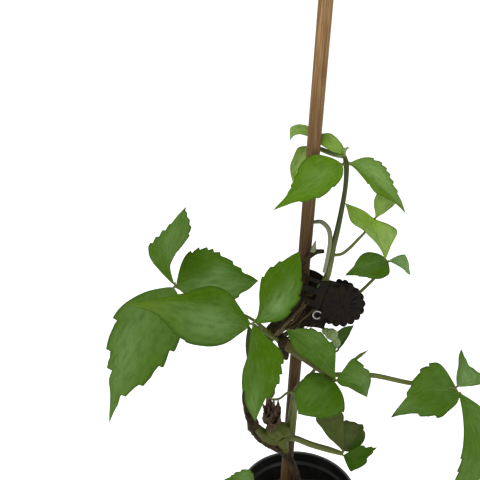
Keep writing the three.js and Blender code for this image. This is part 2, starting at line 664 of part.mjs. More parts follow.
// The leaves. Each is a stalk and its leaflets, as blade() and leaf() read them.
const LEAVES = {
  leaf_left_front: {
    stalk: [[-18.5, -13, 230.5], [-24, -22, 238.5], [-30, -30, 248], [-37, -36.5, 257.5]],
    radii: [1.3, 1, 0.95, 1],
    leaflets: [
      {
        base: [-38.5, -37, 257.6], tip: [-110, -52, 280], face: [0, -0.8, 0.6],
        left: [9.5, 19.5, 24, 22, 8], right: [5, 11, 11.5, 5.5, 1.5],
        bow: 6, arch: 6, fold: 0.35, cuts: [[0.55, 0.65, 0.75], [0.55, 0.65]], tooth: 0.8,
      },
      {
        base: [-36, -37, 258.8], tip: [-10, -34, 305], face: [-0.2, -0.9, 0.3],
        left: [1, 4, 9, 12, 8], right: [6, 12, 14, 14, 9.5],
        bow: 1.5, arch: 3, fold: 0.25, cuts: [[0.55, 0.7, 0.8], [0.4, 0.6, 0.75]], tooth: 1.2,
      },
      {
        base: [-36.5, -37, 256.5], tip: [-35, -46, 191], face: [0.1, -0.9, 0.4],
        left: [7, 15, 15, 11.5, 3.5], right: [3, 5.5, 10, 10.5, 7],
        bow: -2, arch: 5, fold: 0.25, cuts: [[0.35, 0.45, 0.55, 0.7], [0.6]], tooth: 1.5,
      },
    ],
  },
  leaf_left_far: {
    stalk: [
      [-24, -11, 234], [-38, -14, 248], [-60, -14, 258], [-76, -13, 265], [-85.5, -12.5, 270.5],
    ],
    radii: [1.3, 1, 0.95, 0.95, 1],
    leaflets: [
      {
        base: [-86, -13, 271.5], tip: [-78, -4, 321], face: [-0.6, -0.75, 0.2],
        left: [6, 12.5, 12.5, 6.5, 1.5], right: [1, 3, 10, 17, 18],
        bow: -9, arch: 3, fold: 0.25,
        cuts: [[0.45, 0.55, 0.65, 0.75, 0.9], [0.72, 0.82, 0.89, 0.95]], tooth: 1.7,
      },
      {
        base: [-85, -13, 271.5], tip: [-33, -10, 273], face: [0, -0.75, 0.65],
        left: [14, 18.5, 18, 13.5, 6], right: [8, 15, 18.5, 18, 12.5],
        bow: -3.5, arch: 4, fold: 0.3,
        cuts: [[0.2, 0.3, 0.4, 0.47, 0.55, 0.7, 0.8], [0.75]], tooth: 1.9,
      },
      {
        base: [-87, -14, 270.5], tip: [-131, -34, 180], face: [0.1, -0.9, 0.45],
        left: [15.5, 24, 25.5, 19.5, 7], right: [12.5, 18.5, 16, 9, 1.5],
        bow: 9, arch: 9, fold: 0.2, cuts: [[0.33, 0.45, 0.62, 0.75], [0.3, 0.5, 0.62]], tooth: 3,
      },
    ],
  },
  leaf_grey_back: {
    colour: 'dullLeaf',
    stalk: [[-6.5, -12.5, 188], [-12, -16, 190.5], [-18, -20, 188.5], [-22, -21, 188.5]],
    radii: [1, 0.8, 0.8, 0.9],
    leaflets: [
      {
        base: [-24, -21, 189], tip: [-39.5, -24, 249.3], face: [-0.1, -0.9, 0.3],
        left: [3.5, 5.5, 6.5, 5.5, 4], right: [5, 7, 8, 8, 6],
        bow: -1.5, arch: 2, fold: 0.25, cuts: [[], []], tooth: 0.8,
      },
    ],
  },
  leaf_centre: {
    stalk: [
      [-26, -11, 236], [-19, -12, 232.3], [-14, -13.5, 227.6], [-4.5, -17.5, 222.4],
      [6.3, -24, 217], [16.2, -29.6, 211.8],
    ],
    radii: [3.4, 3.4, 3.1, 2.5, 2, 1.5],
    leaflets: [
      {
        hub: [17.8, -30.3, 210.8],
        base: [17, -30.5, 211.5], tip: [-16.5, -38, 254.5], face: [0.2, -0.8, 0.6],
        left: [1.5, 3.5, 5, 6.5, 7], right: [2.5, 7, 11.5, 12, 10.5],
        bow: 1, arch: 5, fold: 0.25, cuts: [[], [0.5, 0.7, 0.8, 0.92]], tooth: 1.1,
      },
      {
        base: [18, -30, 211], tip: [40.6, -22.5, 191.7], face: [0.3, -0.7, 0.6],
        left: [15, 14, 12.5, 12, 10], right: [3.5, 4, 5, 5, 3.5],
        bow: -3, arch: 5, fold: 0.25, cuts: [[0.4, 0.65, 0.9, 0.96], []], tooth: 1.4,
      },
      {
        base: [17, -31, 210], tip: [-8, -49, 199], face: [0, -0.55, 0.83],
        left: [8.5, 14, 17.5, 16, 11], right: [9, 13, 15, 14, 12],
        bow: -1.5, arch: 6, fold: 0.2, cuts: [[0.4, 0.7, 0.8, 0.95], []], tooth: 1,
      },
    ],
  },
  leaf_right_far: {
    stalk: [
      [0, -12, 198.5], [10, -13, 202], [26.4, -12.8, 202.9], [44.9, -14.5, 203.5],
      [69.5, -19.5, 200.9], [97, -25, 201],
    ],
    radii: [1.5, 1.5, 1.4, 1.4, 1.2, 1.2],
    leaflets: [
      {
        hub: [101.8, -26, 198.3],
        base: [100.5, -26, 197.5], tip: [55, -34, 184], face: [0, -0.8, 0.6],
        left: [8, 13, 17, 14, 6.5], right: [17.5, 19, 16, 9.5, 2.5],
        bow: 8, arch: 5, fold: 0.2, cuts: [[0.45, 0.65], [0.27, 0.42, 0.57, 0.7]], tooth: 1.7,
      },
      {
        base: [99.5, -25, 202], tip: [102, -14, 224], face: [0.35, -0.9, 0.2],
        left: [3, 5, 6.5, 6.5, 5], right: [15, 15, 12.5, 4.5, 1.5],
        bow: 2, arch: 2, fold: 0.2, cuts: [[], [0.42, 0.55, 0.78]], tooth: 1,
      },
      {
        base: [101, -26, 197.5], tip: [107, -44, 122], face: [-0.3, -0.85, 0.4],
        left: [8.5, 11, 6.5, 1, 0.5], right: [4.5, 9, 13, 16, 14.5],
        bow: -15.5, arch: 7, fold: 0.25, cuts: [[0.53, 0.75], [0.53, 0.65]], tooth: 1.3,
      },
    ],
  },
  leaf_low_right: {
    colour: 'dullLeaf',
    stalk: [
      [-14, -13.5, 149], [-6, -13, 148.5], [5, -15, 145], [19, -17, 141.5], [27.5, -19, 140],
    ],
    radii: [2.4, 2.2, 2.2, 2.2, 1.6],
    leaflets: [
      {
        base: [28.5, -19.5, 142.5], tip: [12, -14, 181], face: [-0.3, -0.85, 0.4],
        left: [1.5, 3.5, 6, 7.5, 8.5], right: [1.5, 3.5, 6, 8.5, 10.5],
        bow: 1, arch: 3, fold: 0.2, cuts: [[], []], tooth: 0.7,
      },
      {
        base: [29, -19, 142.5], tip: [43, -9, 157.5], face: [-0.1, -0.9, 0.4],
        left: [3.5, 6.5, 9.5, 12.5, 12], right: [3.5, 4.5, 6, 6.5, 5],
        bow: 0, arch: 2, fold: 0.2, cuts: [[0.8, 0.9], [0.85, 0.95]], tooth: 1.4,
      },
      {
        base: [28.5, -20.5, 139], tip: [50.5, -24, 150], face: [0.1, -0.7, 0.7],
        left: [2, 3.5, 5, 6, 4], right: [9.5, 9, 8, 6.5, 3],
        bow: 2, arch: 3, fold: 0.2, cuts: [[0.7, 0.88], [0.65, 0.87]], tooth: 1.6,
      },
    ],
  },
  leaf_low_left: {
    stalk: [[0, -8, 82], [-10, -15, 98], [-21, -23, 111], [-30, -29, 119.5]],
    radii: [1.2, 1, 1, 1],
    leaflets: [
      {
        base: [-32.6, -30, 120.7], tip: [-56.7, -44, 139], face: [0, -0.8, 0.6],
        left: [4, 7, 9, 9.5, 6.5], right: [1, 3, 8, 8, 5.5],
        bow: 3, arch: 4, fold: 0.2, cuts: [[], [0.35, 0.67, 0.8, 0.86]], tooth: 1.3,
      },
    ],
  },
  leaf_small_mid: {
    colour: 'dullLeaf',
    stalk: [[13.5, -12, 218], [17, -12, 219.5], [20.5, -11.2, 221]],
    radii: [0.9, 0.9, 0.7],
    leaflets: [
      {
        base: [21.1, -11, 221.9], tip: [31.1, -6.5, 238], face: [-0.3, -0.9, 0.3],
        left: [3, 5.5, 7, 6.5, 4.5], right: [0.5, 1, 1, 1, 0.5],
        bow: 0, arch: 1, fold: 0.2, cuts: [[], []], tooth: 0.6, strips: 2,
      },
    ],
  },
  leaf_right_upper: {
    colour: 'youngLeaf',
    stalk: [
      [13.5, -11, 291.5], [18.9, -10.5, 292.2], [23.7, -9.6, 295.7], [28.6, -8.6, 301],
      [33.5, -7.6, 306.6], [37.7, -6.9, 314.2],
    ],
    radii: [1, 0.95, 0.95, 0.95, 0.95, 0.9],
    leaflets: [
      {
        hub: [48.1, -5.9, 285.7],
        base: [47.5, -6, 286.5], tip: [19.5, -7, 324.8], face: [0.15, -0.9, 0.4],
        left: [1, 2.5, 4.5, 6, 7.5], right: [1.5, 12, 9.5, 4.5, 3],
        bow: 4, arch: 3, fold: 0.3, cuts: [[], []], tooth: 0.6,
      },
      {
        base: [39.5, -5.8, 314.8], tip: [48.9, 1.5, 329.8], face: [0.2, -0.9, 0.3],
        left: [2.5, 5.5, 8, 9, 8], right: [1, 2.5, 3.5, 5, 5.5],
        bow: 0, arch: 2, fold: 0.2, cuts: [[], []], tooth: 0.6, strips: 2,
      },
    ],
  },
  leaf_right_mid: {
    stalk: [
      [-26, -10, 229], [-19.5, -4, 229], [-12.5, 3, 230], [-4, 6.5, 230], [10, 8, 233],
      [24, 7, 243], [36, 5, 257], [45, 2.5, 270], [50.5, 0, 281],
    ],
    radii: [1.3, 1.2, 1.1, 1.1, 1.1, 1.1, 1.1, 1, 0.9],
    leaflets: [
      {
        hub: [51.8, 0, 282.2],
        base: [51, 0, 282], tip: [22.5, -8, 276], face: [0, -0.75, 0.65],
        left: [8, 10.5, 11, 8.5, 4.5], right: [4, 6.5, 8, 7, 3],
        bow: 1, arch: 4, fold: 0.2, cuts: [[0.6, 0.77], [0.75]], tooth: 0.6,
      },
      {
        base: [52, 0, 282.5], tip: [67.5, 3, 270.5], face: [0.35, -0.75, 0.55],
        left: [3.5, 6.5, 8.5, 5.5, 2.5], right: [0.5, 0.5, 0.5, 0.5, 1],
        bow: 0, arch: 2, fold: 0.2, cuts: [[0.4], []], tooth: 0.6, strips: 2,
      },
    ],
  },
  leaf_top_left: {
    stalk: [[16.5, -13, 351.5], [15.5, -13.4, 351.6]],
    radii: [1.3, 1],
    leaflets: [
      {
        base: [15, -13.5, 351.5], tip: [-25, -24, 327], face: [0, -0.8, 0.6],
        left: [7.5, 11, 13, 11, 5], right: [7.5, 11.5, 10.5, 6, 1],
        bow: 2, arch: 4, fold: 0.3,
        cuts: [[0.26, 0.5, 0.68], [0.5, 0.58, 0.67, 0.75]], tooth: 0.9,
      },
    ],
  },
  leaf_top_right: {
    stalk: [[18, -13, 351.5], [20, -12.6, 351.7]],
    radii: [1.3, 1],
    leaflets: [
      {
        hub: [18.8, -12.9, 351.6],
        base: [19.5, -12.7, 351.7], tip: [57, -6, 318], face: [0.2, -0.85, 0.5],
        left: [8, 11, 10, 7, 3.5], right: [1, 3, 5.5, 3.5, 1],
        bow: 0, arch: 4, fold: 0.3,
        cuts: [[0.18, 0.29, 0.38, 0.47, 0.57, 0.69], [0.3]], tooth: 1.1,
      },
    ],
  },
  leaf_tip_front: {
    colour: 'youngLeaf',
    stalk: [[16.3, -12.4, 355.5], [15.4, -11.6, 356.8]],
    radii: [1.1, 0.8],
    leaflets: [
      {
        base: [15.3, -11.4, 357], tip: [1, 3.5, 366], face: [-0.4, -0.75, 0.5],
        left: [1.5, 3, 3.5, 4, 4.5], right: [3.5, 4.5, 5, 4.5, 1.5],
        bow: 0, arch: 3, fold: 0.25, cuts: [[], []], tooth: 0.5, strips: 2,
      },
    ],
  },
  leaf_tip_back: {
    colour: 'youngLeaf',
    stalk: [
      [16.3, -12.2, 355.5], [11, -7, 355.6], [5, 0, 356.3], [0, 4.5, 357.5], [-1.2, 5.9, 361.5],
      [0.5, 6.2, 365.6],
    ],
    radii: [1, 1.1, 1.1, 0.9, 0.8, 0.8],
    leaflets: [
      {
        base: [-0.7, 6, 365.9], tip: [-14.6, 2.5, 361], face: [0, -0.7, 0.7],
        left: [6, 7.5, 7.5, 5, 2], right: [2.5, 2, 2, 2.5, 3.5],
        bow: 5, arch: 2, fold: 0.3, cuts: [[], []], tooth: 0.4, strips: 2,
      },
      {
        hub: [0, 4.5, 357.5],
        base: [-4.9, 5.2, 357.2], tip: [-12.3, 1.5, 335.8], face: [-0.2, -0.9, 0.3],
        left: [2.5, 4, 4.5, 4.5, 3], right: [3.5, 4, 4, 4, 2.5],
        bow: 0.5, arch: 2, fold: 0.25, cuts: [[], []], tooth: 0.4, strips: 2,
      },
    ],
  },
  leaf_twining: {
    stalk: [
      [8.2, -13.5, 281], [9.8, -13, 291], [10.8, -12.5, 302], [9.8, -10.5, 309],
      [6.2, -6, 311.8], [2.5, 0, 309.5], [0, 5, 307],
    ],
    radii: [1.1, 1.15, 1.2, 1.25, 1.25, 1.1, 0.8],
    leaflets: [
      {
        base: [-0.5, 5.7, 306.5], tip: [-1, 8, 294], face: [0, 1, 0.2],
        left: [1, 2, 2.5, 2, 1], right: [1, 2, 2.5, 2, 1], arch: 1, strips: 2,
      },
    ],
  },
};

// Side shoots and buds. The woolly buds sit on a short shoot behind leaf_centre.
const BUD_SHOOT = {
  points: [
    [1.5, -11.5, 199.5], [7, -12, 208], [12.5, -13, 217], [18.5, -13.5, 225], [19, -13.5, 231],
  ],
  radii: [1.3, 1.1, 1, 1.1, 1.2],
};
const WOOLLY_BUDS = [
  { at: [18.6, -13.5, 230.5], size: [2.3, 2.3, 3.6], tilt: -0.25 },
  { at: [15.8, -13.8, 236.5], size: [3.4, 3, 4.1], tilt: -0.5 },
  { at: [12.4, -13.4, 238.6], size: [1.9, 1.9, 2.8], tilt: -0.9 },
];
const POINTED_BUD = {
  points: [[26.8, -12.9, 203.6], [31, -13, 213.5], [36, -12.6, 218.5], [41, -12, 222]],
  radii: [0.9, 1, 1.2, 0.35],
};
const STUB_BUD = {
  points: [[1.2, -9.2, 293.5], [1.5, -9.2, 296], [1.9, -9.2, 298.5], [2.6, -9, 301]],
  radii: [2, 1.5, 0.9, 0.35],
};

function bud({ at, size, tilt }) {
  const lump = new THREE.SphereGeometry(1, 8, 6);
  lump.rotateX(Math.PI / 2);
  lump.scale(...size);
  lump.rotateY(tilt);
  lump.translate(...at);
  return toSolid(lump);
}

function woollyBuds() {
  return fuse([stem(BUD_SHOOT.points, BUD_SHOOT.radii, { perSpan: 2 }), ...WOOLLY_BUDS.map(bud)]);
}

// Dried bud scales that stand in a tuft on the elbow of the lower shoot.
const SCALE_TUFT = {
  foot: [-22.5, -17.5, 165],
  tips: [
    [-29.5, -19, 181], [-27, -20, 187], [-24.5, -19, 190], [-21.5, -21, 186], [-18.5, -18, 184],
    [-16.5, -19, 179], [-29, -21, 175], [-20.5, -22, 178],
  ],
};

function scaleTuft() {
  const [x, y, z] = SCALE_TUFT.foot;
  const root = stem(
    [[x - 1.5, y + 3.5, z - 13], [x - 1, y + 1.5, z - 6], SCALE_TUFT.foot],
    [2, 2.6, 3],
    { perSpan: 2 },
  );
  const half = [1.5, 2.5, 3, 2.5, 1.5];
  const scales = SCALE_TUFT.tips.map((tip, k) => blade({
    base: [x + (tip[0] - x) * 0.15, y + (tip[1] - y) * 0.15, z + (tip[2] - z) * 0.15],
    tip,
    face: [0.8 * ((k % 5) / 2 - 1), -0.9, 0.2],
    left: half,
    right: half,
    fold: 0.45,
    strips: 2,
  }, SCALE_TUFT.foot));
  return fuse([root, ...scales]);
}

place('pot', pot(), finish(COLOURS.pot, 0.45));
place('soil', soil(), finish(COLOURS.soil, 0.95));
place('cane', cane, finish(COLOURS.cane, 0.7));
place('old_stem', oldStem, finish(COLOURS.bark, 0.9));
place('green_shoot', greenShoot, finish(COLOURS.shoot, 0.6));
place('lower_shoot', lowerShoot, finish(COLOURS.shoot, 0.6));
place('clip_front_jaw', inClip(frontJaw()), finish(COLOURS.clip, 0.4));
place('clip_back_jaw', inClip(backJaw()), finish(COLOURS.clip, 0.4));
place('clip_pin', inClip(clipPin()), finish(COLOURS.steel, 0.3, 1));
place('clip_spring', inClip(clipSpring()), finish(COLOURS.steel, 0.3, 1));
const dryTendril = cut(stem(DRY_TENDRIL.points, DRY_TENDRIL.radii, { perSpan: 2 }), stemSeats);
const tendrilSeat = stem(DRY_TENDRIL.points, DRY_TENDRIL.radii, { perSpan: 2, grow: SEAT });
place('dry_tendril', dryTendril, finish(COLOURS.bark, 0.9));
place(
  'stub_bud',
  cut(stem(STUB_BUD.points, STUB_BUD.radii, { sides: 5, perSpan: 1 }), [...stemSeats, tendrilSeat]),
  finish(COLOURS.bud, 0.7),
);

const seats = [...stemSeats];
Object.entries(LEAVES).forEach(([name, spec]) => {
  const material = finish(COLOURS[spec.colour ?? 'leaf'], 0.5);
  place(name, cut(leaf(spec), seats), material);
  seats.push(stem(spec.stalk, spec.radii, { perSpan: 2, grow: SEAT, past: HUB_END + SEAT }));
});
place('woolly_buds', cut(woollyBuds(), seats), finish(COLOURS.bud, 0.9));
place(
  'pointed_bud',
  cut(stem(POINTED_BUD.points, POINTED_BUD.radii, { sides: 5, perSpan: 2 }), seats),
  finish(COLOURS.shoot, 0.6),
);
place('bud_scales', cut(scaleTuft(), seats), finish(COLOURS.scale, 0.85));

export default plant;
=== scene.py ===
# A young clematis in its round nursery pot. It climbs a wooden cane and is held
# to it by a small sprung claw clip. Sizes in the sections are in millimetres.
import math
import random

import bmesh
import bpy
from bmesh.types import BMEdge, BMFace, BMVert
from mathutils import Matrix, Vector, noise


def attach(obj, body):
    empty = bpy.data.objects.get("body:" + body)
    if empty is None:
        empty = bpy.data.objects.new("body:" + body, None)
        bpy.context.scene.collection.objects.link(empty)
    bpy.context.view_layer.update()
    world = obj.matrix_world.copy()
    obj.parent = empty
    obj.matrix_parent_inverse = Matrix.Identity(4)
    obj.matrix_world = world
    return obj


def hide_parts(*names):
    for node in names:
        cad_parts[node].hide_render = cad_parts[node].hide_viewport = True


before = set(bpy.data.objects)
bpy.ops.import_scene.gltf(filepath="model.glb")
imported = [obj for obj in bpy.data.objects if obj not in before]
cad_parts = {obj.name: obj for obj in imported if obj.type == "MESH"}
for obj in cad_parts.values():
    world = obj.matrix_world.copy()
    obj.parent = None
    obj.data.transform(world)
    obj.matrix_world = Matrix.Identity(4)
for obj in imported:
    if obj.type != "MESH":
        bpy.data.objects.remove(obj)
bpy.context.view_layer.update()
scene = bpy.context.scene

# The camera stands in front of the plant, a little to its left, and looks down on it.
CAMERA_PLACE = (-0.0446, -0.378, 0.4654)
CAMERA_DOWN = 24

camera = bpy.data.objects.new("camera", bpy.data.cameras.new("camera"))
camera.data.sensor_width = 36
camera.data.lens = 48.75
camera.data.clip_start = 0.01
camera.location = CAMERA_PLACE
camera.rotation_euler = (math.radians(90 - CAMERA_DOWN), 0, 0)
scene.collection.objects.link(camera)
scene.camera = camera

# The pot is a thin tapered cup of black moulded plastic. It has a deeper band at
# the rim to lift and stack it by, and drain holes in its floor.
POT_PROFILE = [
    (0, 0.8), (29.5, 0.8), (30.2, 0), (31.3, 0), (32, 0.8), (36.2, 30), (42.5, 73.4), (43.2, 74),
    (44.4, 74.2), (45, 74.8), (45, 84.2), (44.8, 84.8), (44.2, 85), (43.4, 85), (43, 84.7),
    (42.8, 84), (42.8, 76.2), (42.2, 75.2), (41.2, 74), (41.2, 72.4), (35.4, 31), (30.6, 2.6),
    (30, 2), (0, 2),
]
DRAIN_HOLES = 6
DRAIN_RADIUS = 3.2
DRAIN_RING_RADIUS = 21


def add(tree, kind, inputs=None, **settings):
    """A shader node, with its settings and the values of its own sockets."""
    node = tree.nodes.new(kind)
    for key, value in settings.items():
        setattr(node, key, value)
    for key, value in (inputs or {}).items():
        if isinstance(value, bpy.types.NodeSocket):
            tree.links.new(value, node.inputs[key])
        else:
            node.inputs[key].default_value = value
    return node


def colour(red, green, blue):
    """A linear colour from the eight-bit values that a colour picker shows."""
    return tuple((v / 255) ** 2.2 for v in (red, green, blue)) + (1,)


def finish(name, roughness=0.5, **sockets):
    """A material with a plain shader. Returns it, its node tree and the shader."""
    made = bpy.data.materials.new(name)
    made.use_nodes = True
    shader = made.node_tree.nodes["Principled BSDF"]
    shader.inputs["Roughness"].default_value = roughness
    for key, value in sockets.items():
        shader.inputs[key.replace("_", " ")].default_value = value
    return made, made.node_tree, shader


def mix(tree, share, first, second, blend="MIX"):
    """Two colours mixed by a share. A colour is a socket or three values up to 255."""
    ends = [c if isinstance(c, bpy.types.NodeSocket) else colour(*c) for c in (first, second)]
    values = {0: share, 6: ends[0], 7: ends[1]}
    return add(tree, "ShaderNodeMix", values, data_type="RGBA", blend_type=blend).outputs[2]


def sums(tree, operation, *values):
    """The output of one step of arithmetic on sockets or plain numbers."""
    return add(tree, "ShaderNodeMath", dict(enumerate(values)), operation=operation).outputs[0]


def spread(tree, value, low, high, to_low=0.0, to_high=1.0):
    """A value moved from one range to another and kept inside it."""
    values = {0: value, 1: low, 2: high, 3: to_low, 4: to_high}
    return add(tree, "ShaderNodeMapRange", values).outputs[0]


def speckle(tree, vector, scale, detail=3.0, rough=0.55):
    """Soft random mottling, from 0 to 1."""
    values = {"Vector": vector, "Scale": scale, "Detail": detail, "Roughness": rough}
    return add(tree, "ShaderNodeTexNoise", values).outputs[0]


def drawn_out(tree, uv, stretch, scale, detail=3.0, rough=0.55):
    """Mottling drawn out into streaks along a stem or a blade."""
    drawn = add(tree, "ShaderNodeMapping", {"Vector": uv, "Scale": (*stretch, 1)})
    return speckle(tree, drawn.outputs[0], scale, detail, rough)


def place_on(tree, kind="Object"):
    """Where a point lies on its piece, in metres or on the UV map."""
    return add(tree, "ShaderNodeTexCoord").outputs[kind]


def feed(shader, name, value):
    """Links a value to a socket of the shader."""
    shader.id_data.links.new(value, shader.inputs[name])


def relief(shader, height, strength, distance=0.0005):
    """A raised or sunken surface from a height."""
    values = {"Height": height, "Strength": strength, "Distance": distance}
    feed(shader, "Normal", add(shader.id_data, "ShaderNodeBump", values).outputs[0])


def two_tone(name, roughness, grain, low, high, bump, **sockets):
    """A material that one mottling turns from a colour to another and also raises."""
    made, tree, shader = finish(name, roughness, **sockets)
    tone = speckle(tree, place_on(tree), *grain)
    feed(shader, "Base Color", mix(tree, spread(tree, tone, 0.35, 0.65), low, high))
    relief(shader, tone, *bump)
    return made


def grit(name, scale, low, high, bump_scale, strength):
    """A material for the loose grains in the compost."""
    made, tree, shader = finish(name, 0.9)
    where = place_on(tree)
    feed(shader, "Base Color", mix(tree, speckle(tree, where, scale), low, high))
    relief(shader, speckle(tree, where, bump_scale), strength)
    return made


def as_object(name, bm):
    """Puts a mesh into the scene as an object."""
    made = bpy.data.objects.new(name, bpy.data.meshes.new(name))
    bm.to_mesh(made.data)
    bm.free()
    scene.collection.objects.link(made)
    return made


def to_metres(bm):
    """Turns a mesh from millimetres into metres."""
    bmesh.ops.scale(bm, vec=(0.001, 0.001, 0.001), verts=bm.verts)


def piece(name, bm, materials, node, body="planter", sharp=40):
    """Turns a mesh in millimetres into a finished piece that rides on a body."""
    to_metres(bm)
    made_piece = as_object(name, bm)
    made_piece.data.shade_smooth()
    made_piece.data.set_sharp_from_angle(angle=math.radians(sharp))
    for made in materials:
        made_piece.data.materials.append(made)
    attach(made_piece, body)
    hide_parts(node)
    return made_piece


def only(kind, geometry):
    """The vertices, the edges or the faces among what an operator returns."""
    return [g for g in geometry if isinstance(g, kind)]


def faces_of(verts):
    """All faces that touch these vertices, each once and in a fixed order."""
    return list(dict.fromkeys(f for v in verts for f in v.link_faces))


def open_edges(faces):
    """The open edges of these faces, each once and in a fixed order."""
    return list(dict.fromkeys(e for f in faces for e in f.edges if e.is_boundary))


def sheet(bm, columns, rows, uvs=False):
    """A flat grid, one unit wide and high, to be bent: its vertices and faces."""
    made = bmesh.ops.create_grid(bm, x_segments=columns, y_segments=rows, size=0.5, calc_uvs=uvs)
    return made["verts"], faces_of(made["verts"])


def stretched(place, size, turn=Matrix()):
    """The matrix that stands a unit form at a place, turned and stretched to a size."""
    return Matrix.Translation(place) @ turn @ Matrix.Diagonal((*size, 1))


def turned(bm, profile, steps):
    """Spins a profile of (radius, height) points round the upright axis."""
    verts = [bm.verts.new((radius, 0, height)) for radius, height in profile]
    edges = [bm.edges.new(pair) for pair in zip(verts, verts[1:])]
    bmesh.ops.spin(
        bm,
        geom=verts + edges,
        cent=(0, 0, 0),
        axis=(0, 0, 1),
        angle=math.tau,
        steps=steps,
        use_merge=True,
    )
    bmesh.ops.remove_doubles(bm, verts=bm.verts, dist=0.01)
    bmesh.ops.recalc_face_normals(bm, faces=bm.faces)


black_plastic, tree, shader = finish("black_plastic", 0.42)
where = place_on(tree)
dust = speckle(tree, where, 60, 5, 0.65)
height = add(tree, "ShaderNodeSeparateXYZ", {0: where}).outputs[2]
# Painted highlight: the top 1.5 mm of the rim is mixed towards a light grey, as if lit from above.
rim_highlight = spread(tree, height, 0.0835, 0.085)
shade = mix(tree, spread(tree, dust, 0.45, 0.8), (30, 32, 28), (48, 50, 45))
shade = mix(tree, sums(tree, "MULTIPLY", rim_highlight, 0.6), shade, (92, 96, 98))
feed(shader, "Base Color", shade)
feed(shader, "Roughness", spread(tree, dust, 0.3, 0.8, 0.34, 0.6))
relief(shader, speckle(tree, where, 900, 2), 0.15, 0.0002)

bm = bmesh.new()
turned(bm, POT_PROFILE, 120)
pot = piece("nursery_pot", bm, [black_plastic], "pot", sharp=30)
bm = bmesh.new()
for k in range(DRAIN_HOLES):
    turn = Matrix.Rotation(math.tau * k / DRAIN_HOLES, 4, "Z")
    spot = turn @ Matrix.Translation((DRAIN_RING_RADIUS, 0, 1))
    bmesh.ops.create_cone(
        bm, cap_ends=True, segments=24, radius1=DRAIN_RADIUS, radius2=DRAIN_RADIUS, depth=6, matrix=spot
    )
to_metres(bm)
drill = as_object("drill", bm)
holes = pot.modifiers.new("drain_holes", "BOOLEAN")
holes.operation = "DIFFERENCE"
holes.object = drill
bpy.context.view_layer.update()
bored = bpy.data.meshes.new_from_object(pot.evaluated_get(bpy.context.evaluated_depsgraph_get()))
pot.modifiers.clear()
pot.data = bored
bpy.data.objects.remove(drill)

# The compost is dark and crumbly, with chips of bark and white grains of perlite.
# It fills the pot to two fingers below the rim.
SOIL_LEVEL = 62.6
SOIL_RADIUS = 38.6
CRUMB_RADIUS = 37.6
CRUMBS = 620
NOISE_SEED = 7


def surface(x, y):
    """The height of the compost at a place."""
    bumps = noise.fractal(Vector((x * 0.09, y * 0.09, 3)), 0.6, 2, 4)
    dish = -1.2 * math.exp(-((x + 6) ** 2 + (y + 4) ** 2) / 180)
    return SOIL_LEVEL + 1.5 * bumps + dish


compost = two_tone("compost", 0.95, (420, 6, 0.7), (24, 17, 11), (74, 55, 38), (0.9, 0.0015))
perlite = grit("perlite", 900, (170, 164, 150), (222, 219, 210), 1500, 0.5)
bark_chip = grit("bark_chip", 500, (40, 26, 16), (104, 76, 50), 1200, 0.6)

random.seed(11)
noise.seed_set(NOISE_SEED)
bm = bmesh.new()
bmesh.ops.create_grid(bm, x_segments=70, y_segments=70, size=1)
for vert in bm.verts:
    x, y = vert.co.x, vert.co.y
    share = max(abs(x), abs(y))
    length = math.hypot(x, y) or 1
    x, y = (v * share / length * SOIL_RADIUS for v in (x, y))
    vert.co = (x, y, surface(x, y))
edge = bmesh.ops.extrude_edge_only(bm, edges=[e for e in bm.edges if e.is_boundary])["geom"]
bmesh.ops.translate(bm, vec=(0, 0, -8), verts=only(BMVert, edge))
bmesh.ops.recalc_face_normals(bm, faces=bm.faces)
for _ in range(CRUMBS):
    radius = CRUMB_RADIUS * math.sqrt(random.random())
    angle = math.tau * random.random()
    x, y = radius * math.cos(angle), radius * math.sin(angle)
    kind = random.random()
    size = random.uniform(0.5, 1.5) if kind < 0.9 else random.uniform(0.9, 1.7)
    flat = (1, random.uniform(0.5, 1), random.uniform(0.3, 0.9))
    place = (x, y, surface(x, y) + 0.2)
    spot = stretched(place, [size * v for v in flat], Matrix.Rotation(angle * 5, 4, "Z"))
    lump = bmesh.ops.create_icosphere(bm, subdivisions=1, radius=1, matrix=spot)["verts"]
    for vert in lump:
        vert.co += noise.noise_vector(vert.co * 0.9) * 0.35 * size
    for face in faces_of(lump):
        face.material_index = 0 if kind < 0.62 else 2 if kind < 0.93 else 1
piece("compost_top", bm, [compost, perlite, bark_chip], "soil")

# The cane is a straight round stick of weathered brown wood, pushed into the
# compost. Fine fibres run along it and its top is sawn off square.
CANE_FOOT = Vector((-12.5, 1, 14))
CANE_TOP = Vector((3.8, -8, 511.9))
CANE_RADIUS = 4.2
CANE_STEPS = 90

cane_wood, tree, shader = finish("cane_wood", 0.68, Specular_IOR_Level=0.2)
where = place_on(tree)
axis = CANE_TOP - CANE_FOOT
lean = axis.to_track_quat("Z", "Y").inverted().to_euler()
along = add(tree, "ShaderNodeVectorRotate", {"Vector": where, "Rotation": lean}, rotation_type="EULER_XYZ")
long_grain = add(tree, "ShaderNodeMapping", {"Vector": along.outputs[0], "Scale": (1, 1, 0.035)})
fibre = speckle(tree, long_grain.outputs[0], 1500, 4, 0.6)
band = speckle(tree, long_grain.outputs[0], 420, 2, 0.5)
stain = speckle(tree, where, 22, 4, 0.6)
shade = mix(tree, spread(tree, fibre, 0.35, 0.68), (112, 80, 47), (166, 134, 92))
shade = mix(tree, spread(tree, band, 0.5, 0.72, 0, 0.6), shade, (98, 70, 39))
shade = mix(tree, spread(tree, stain, 0.5, 0.75, 0, 0.45), shade, (120, 88, 55))
down = add(tree, "ShaderNodeSeparateXYZ", {0: where}).outputs[2]
shade = mix(tree, spread(tree, down, 0.42, 0.30, 0, 0.85), shade, (112, 100, 46), "MULTIPLY")
feed(shader, "Base Color", shade)
relief(shader, fibre, 0.5, 0.0003)

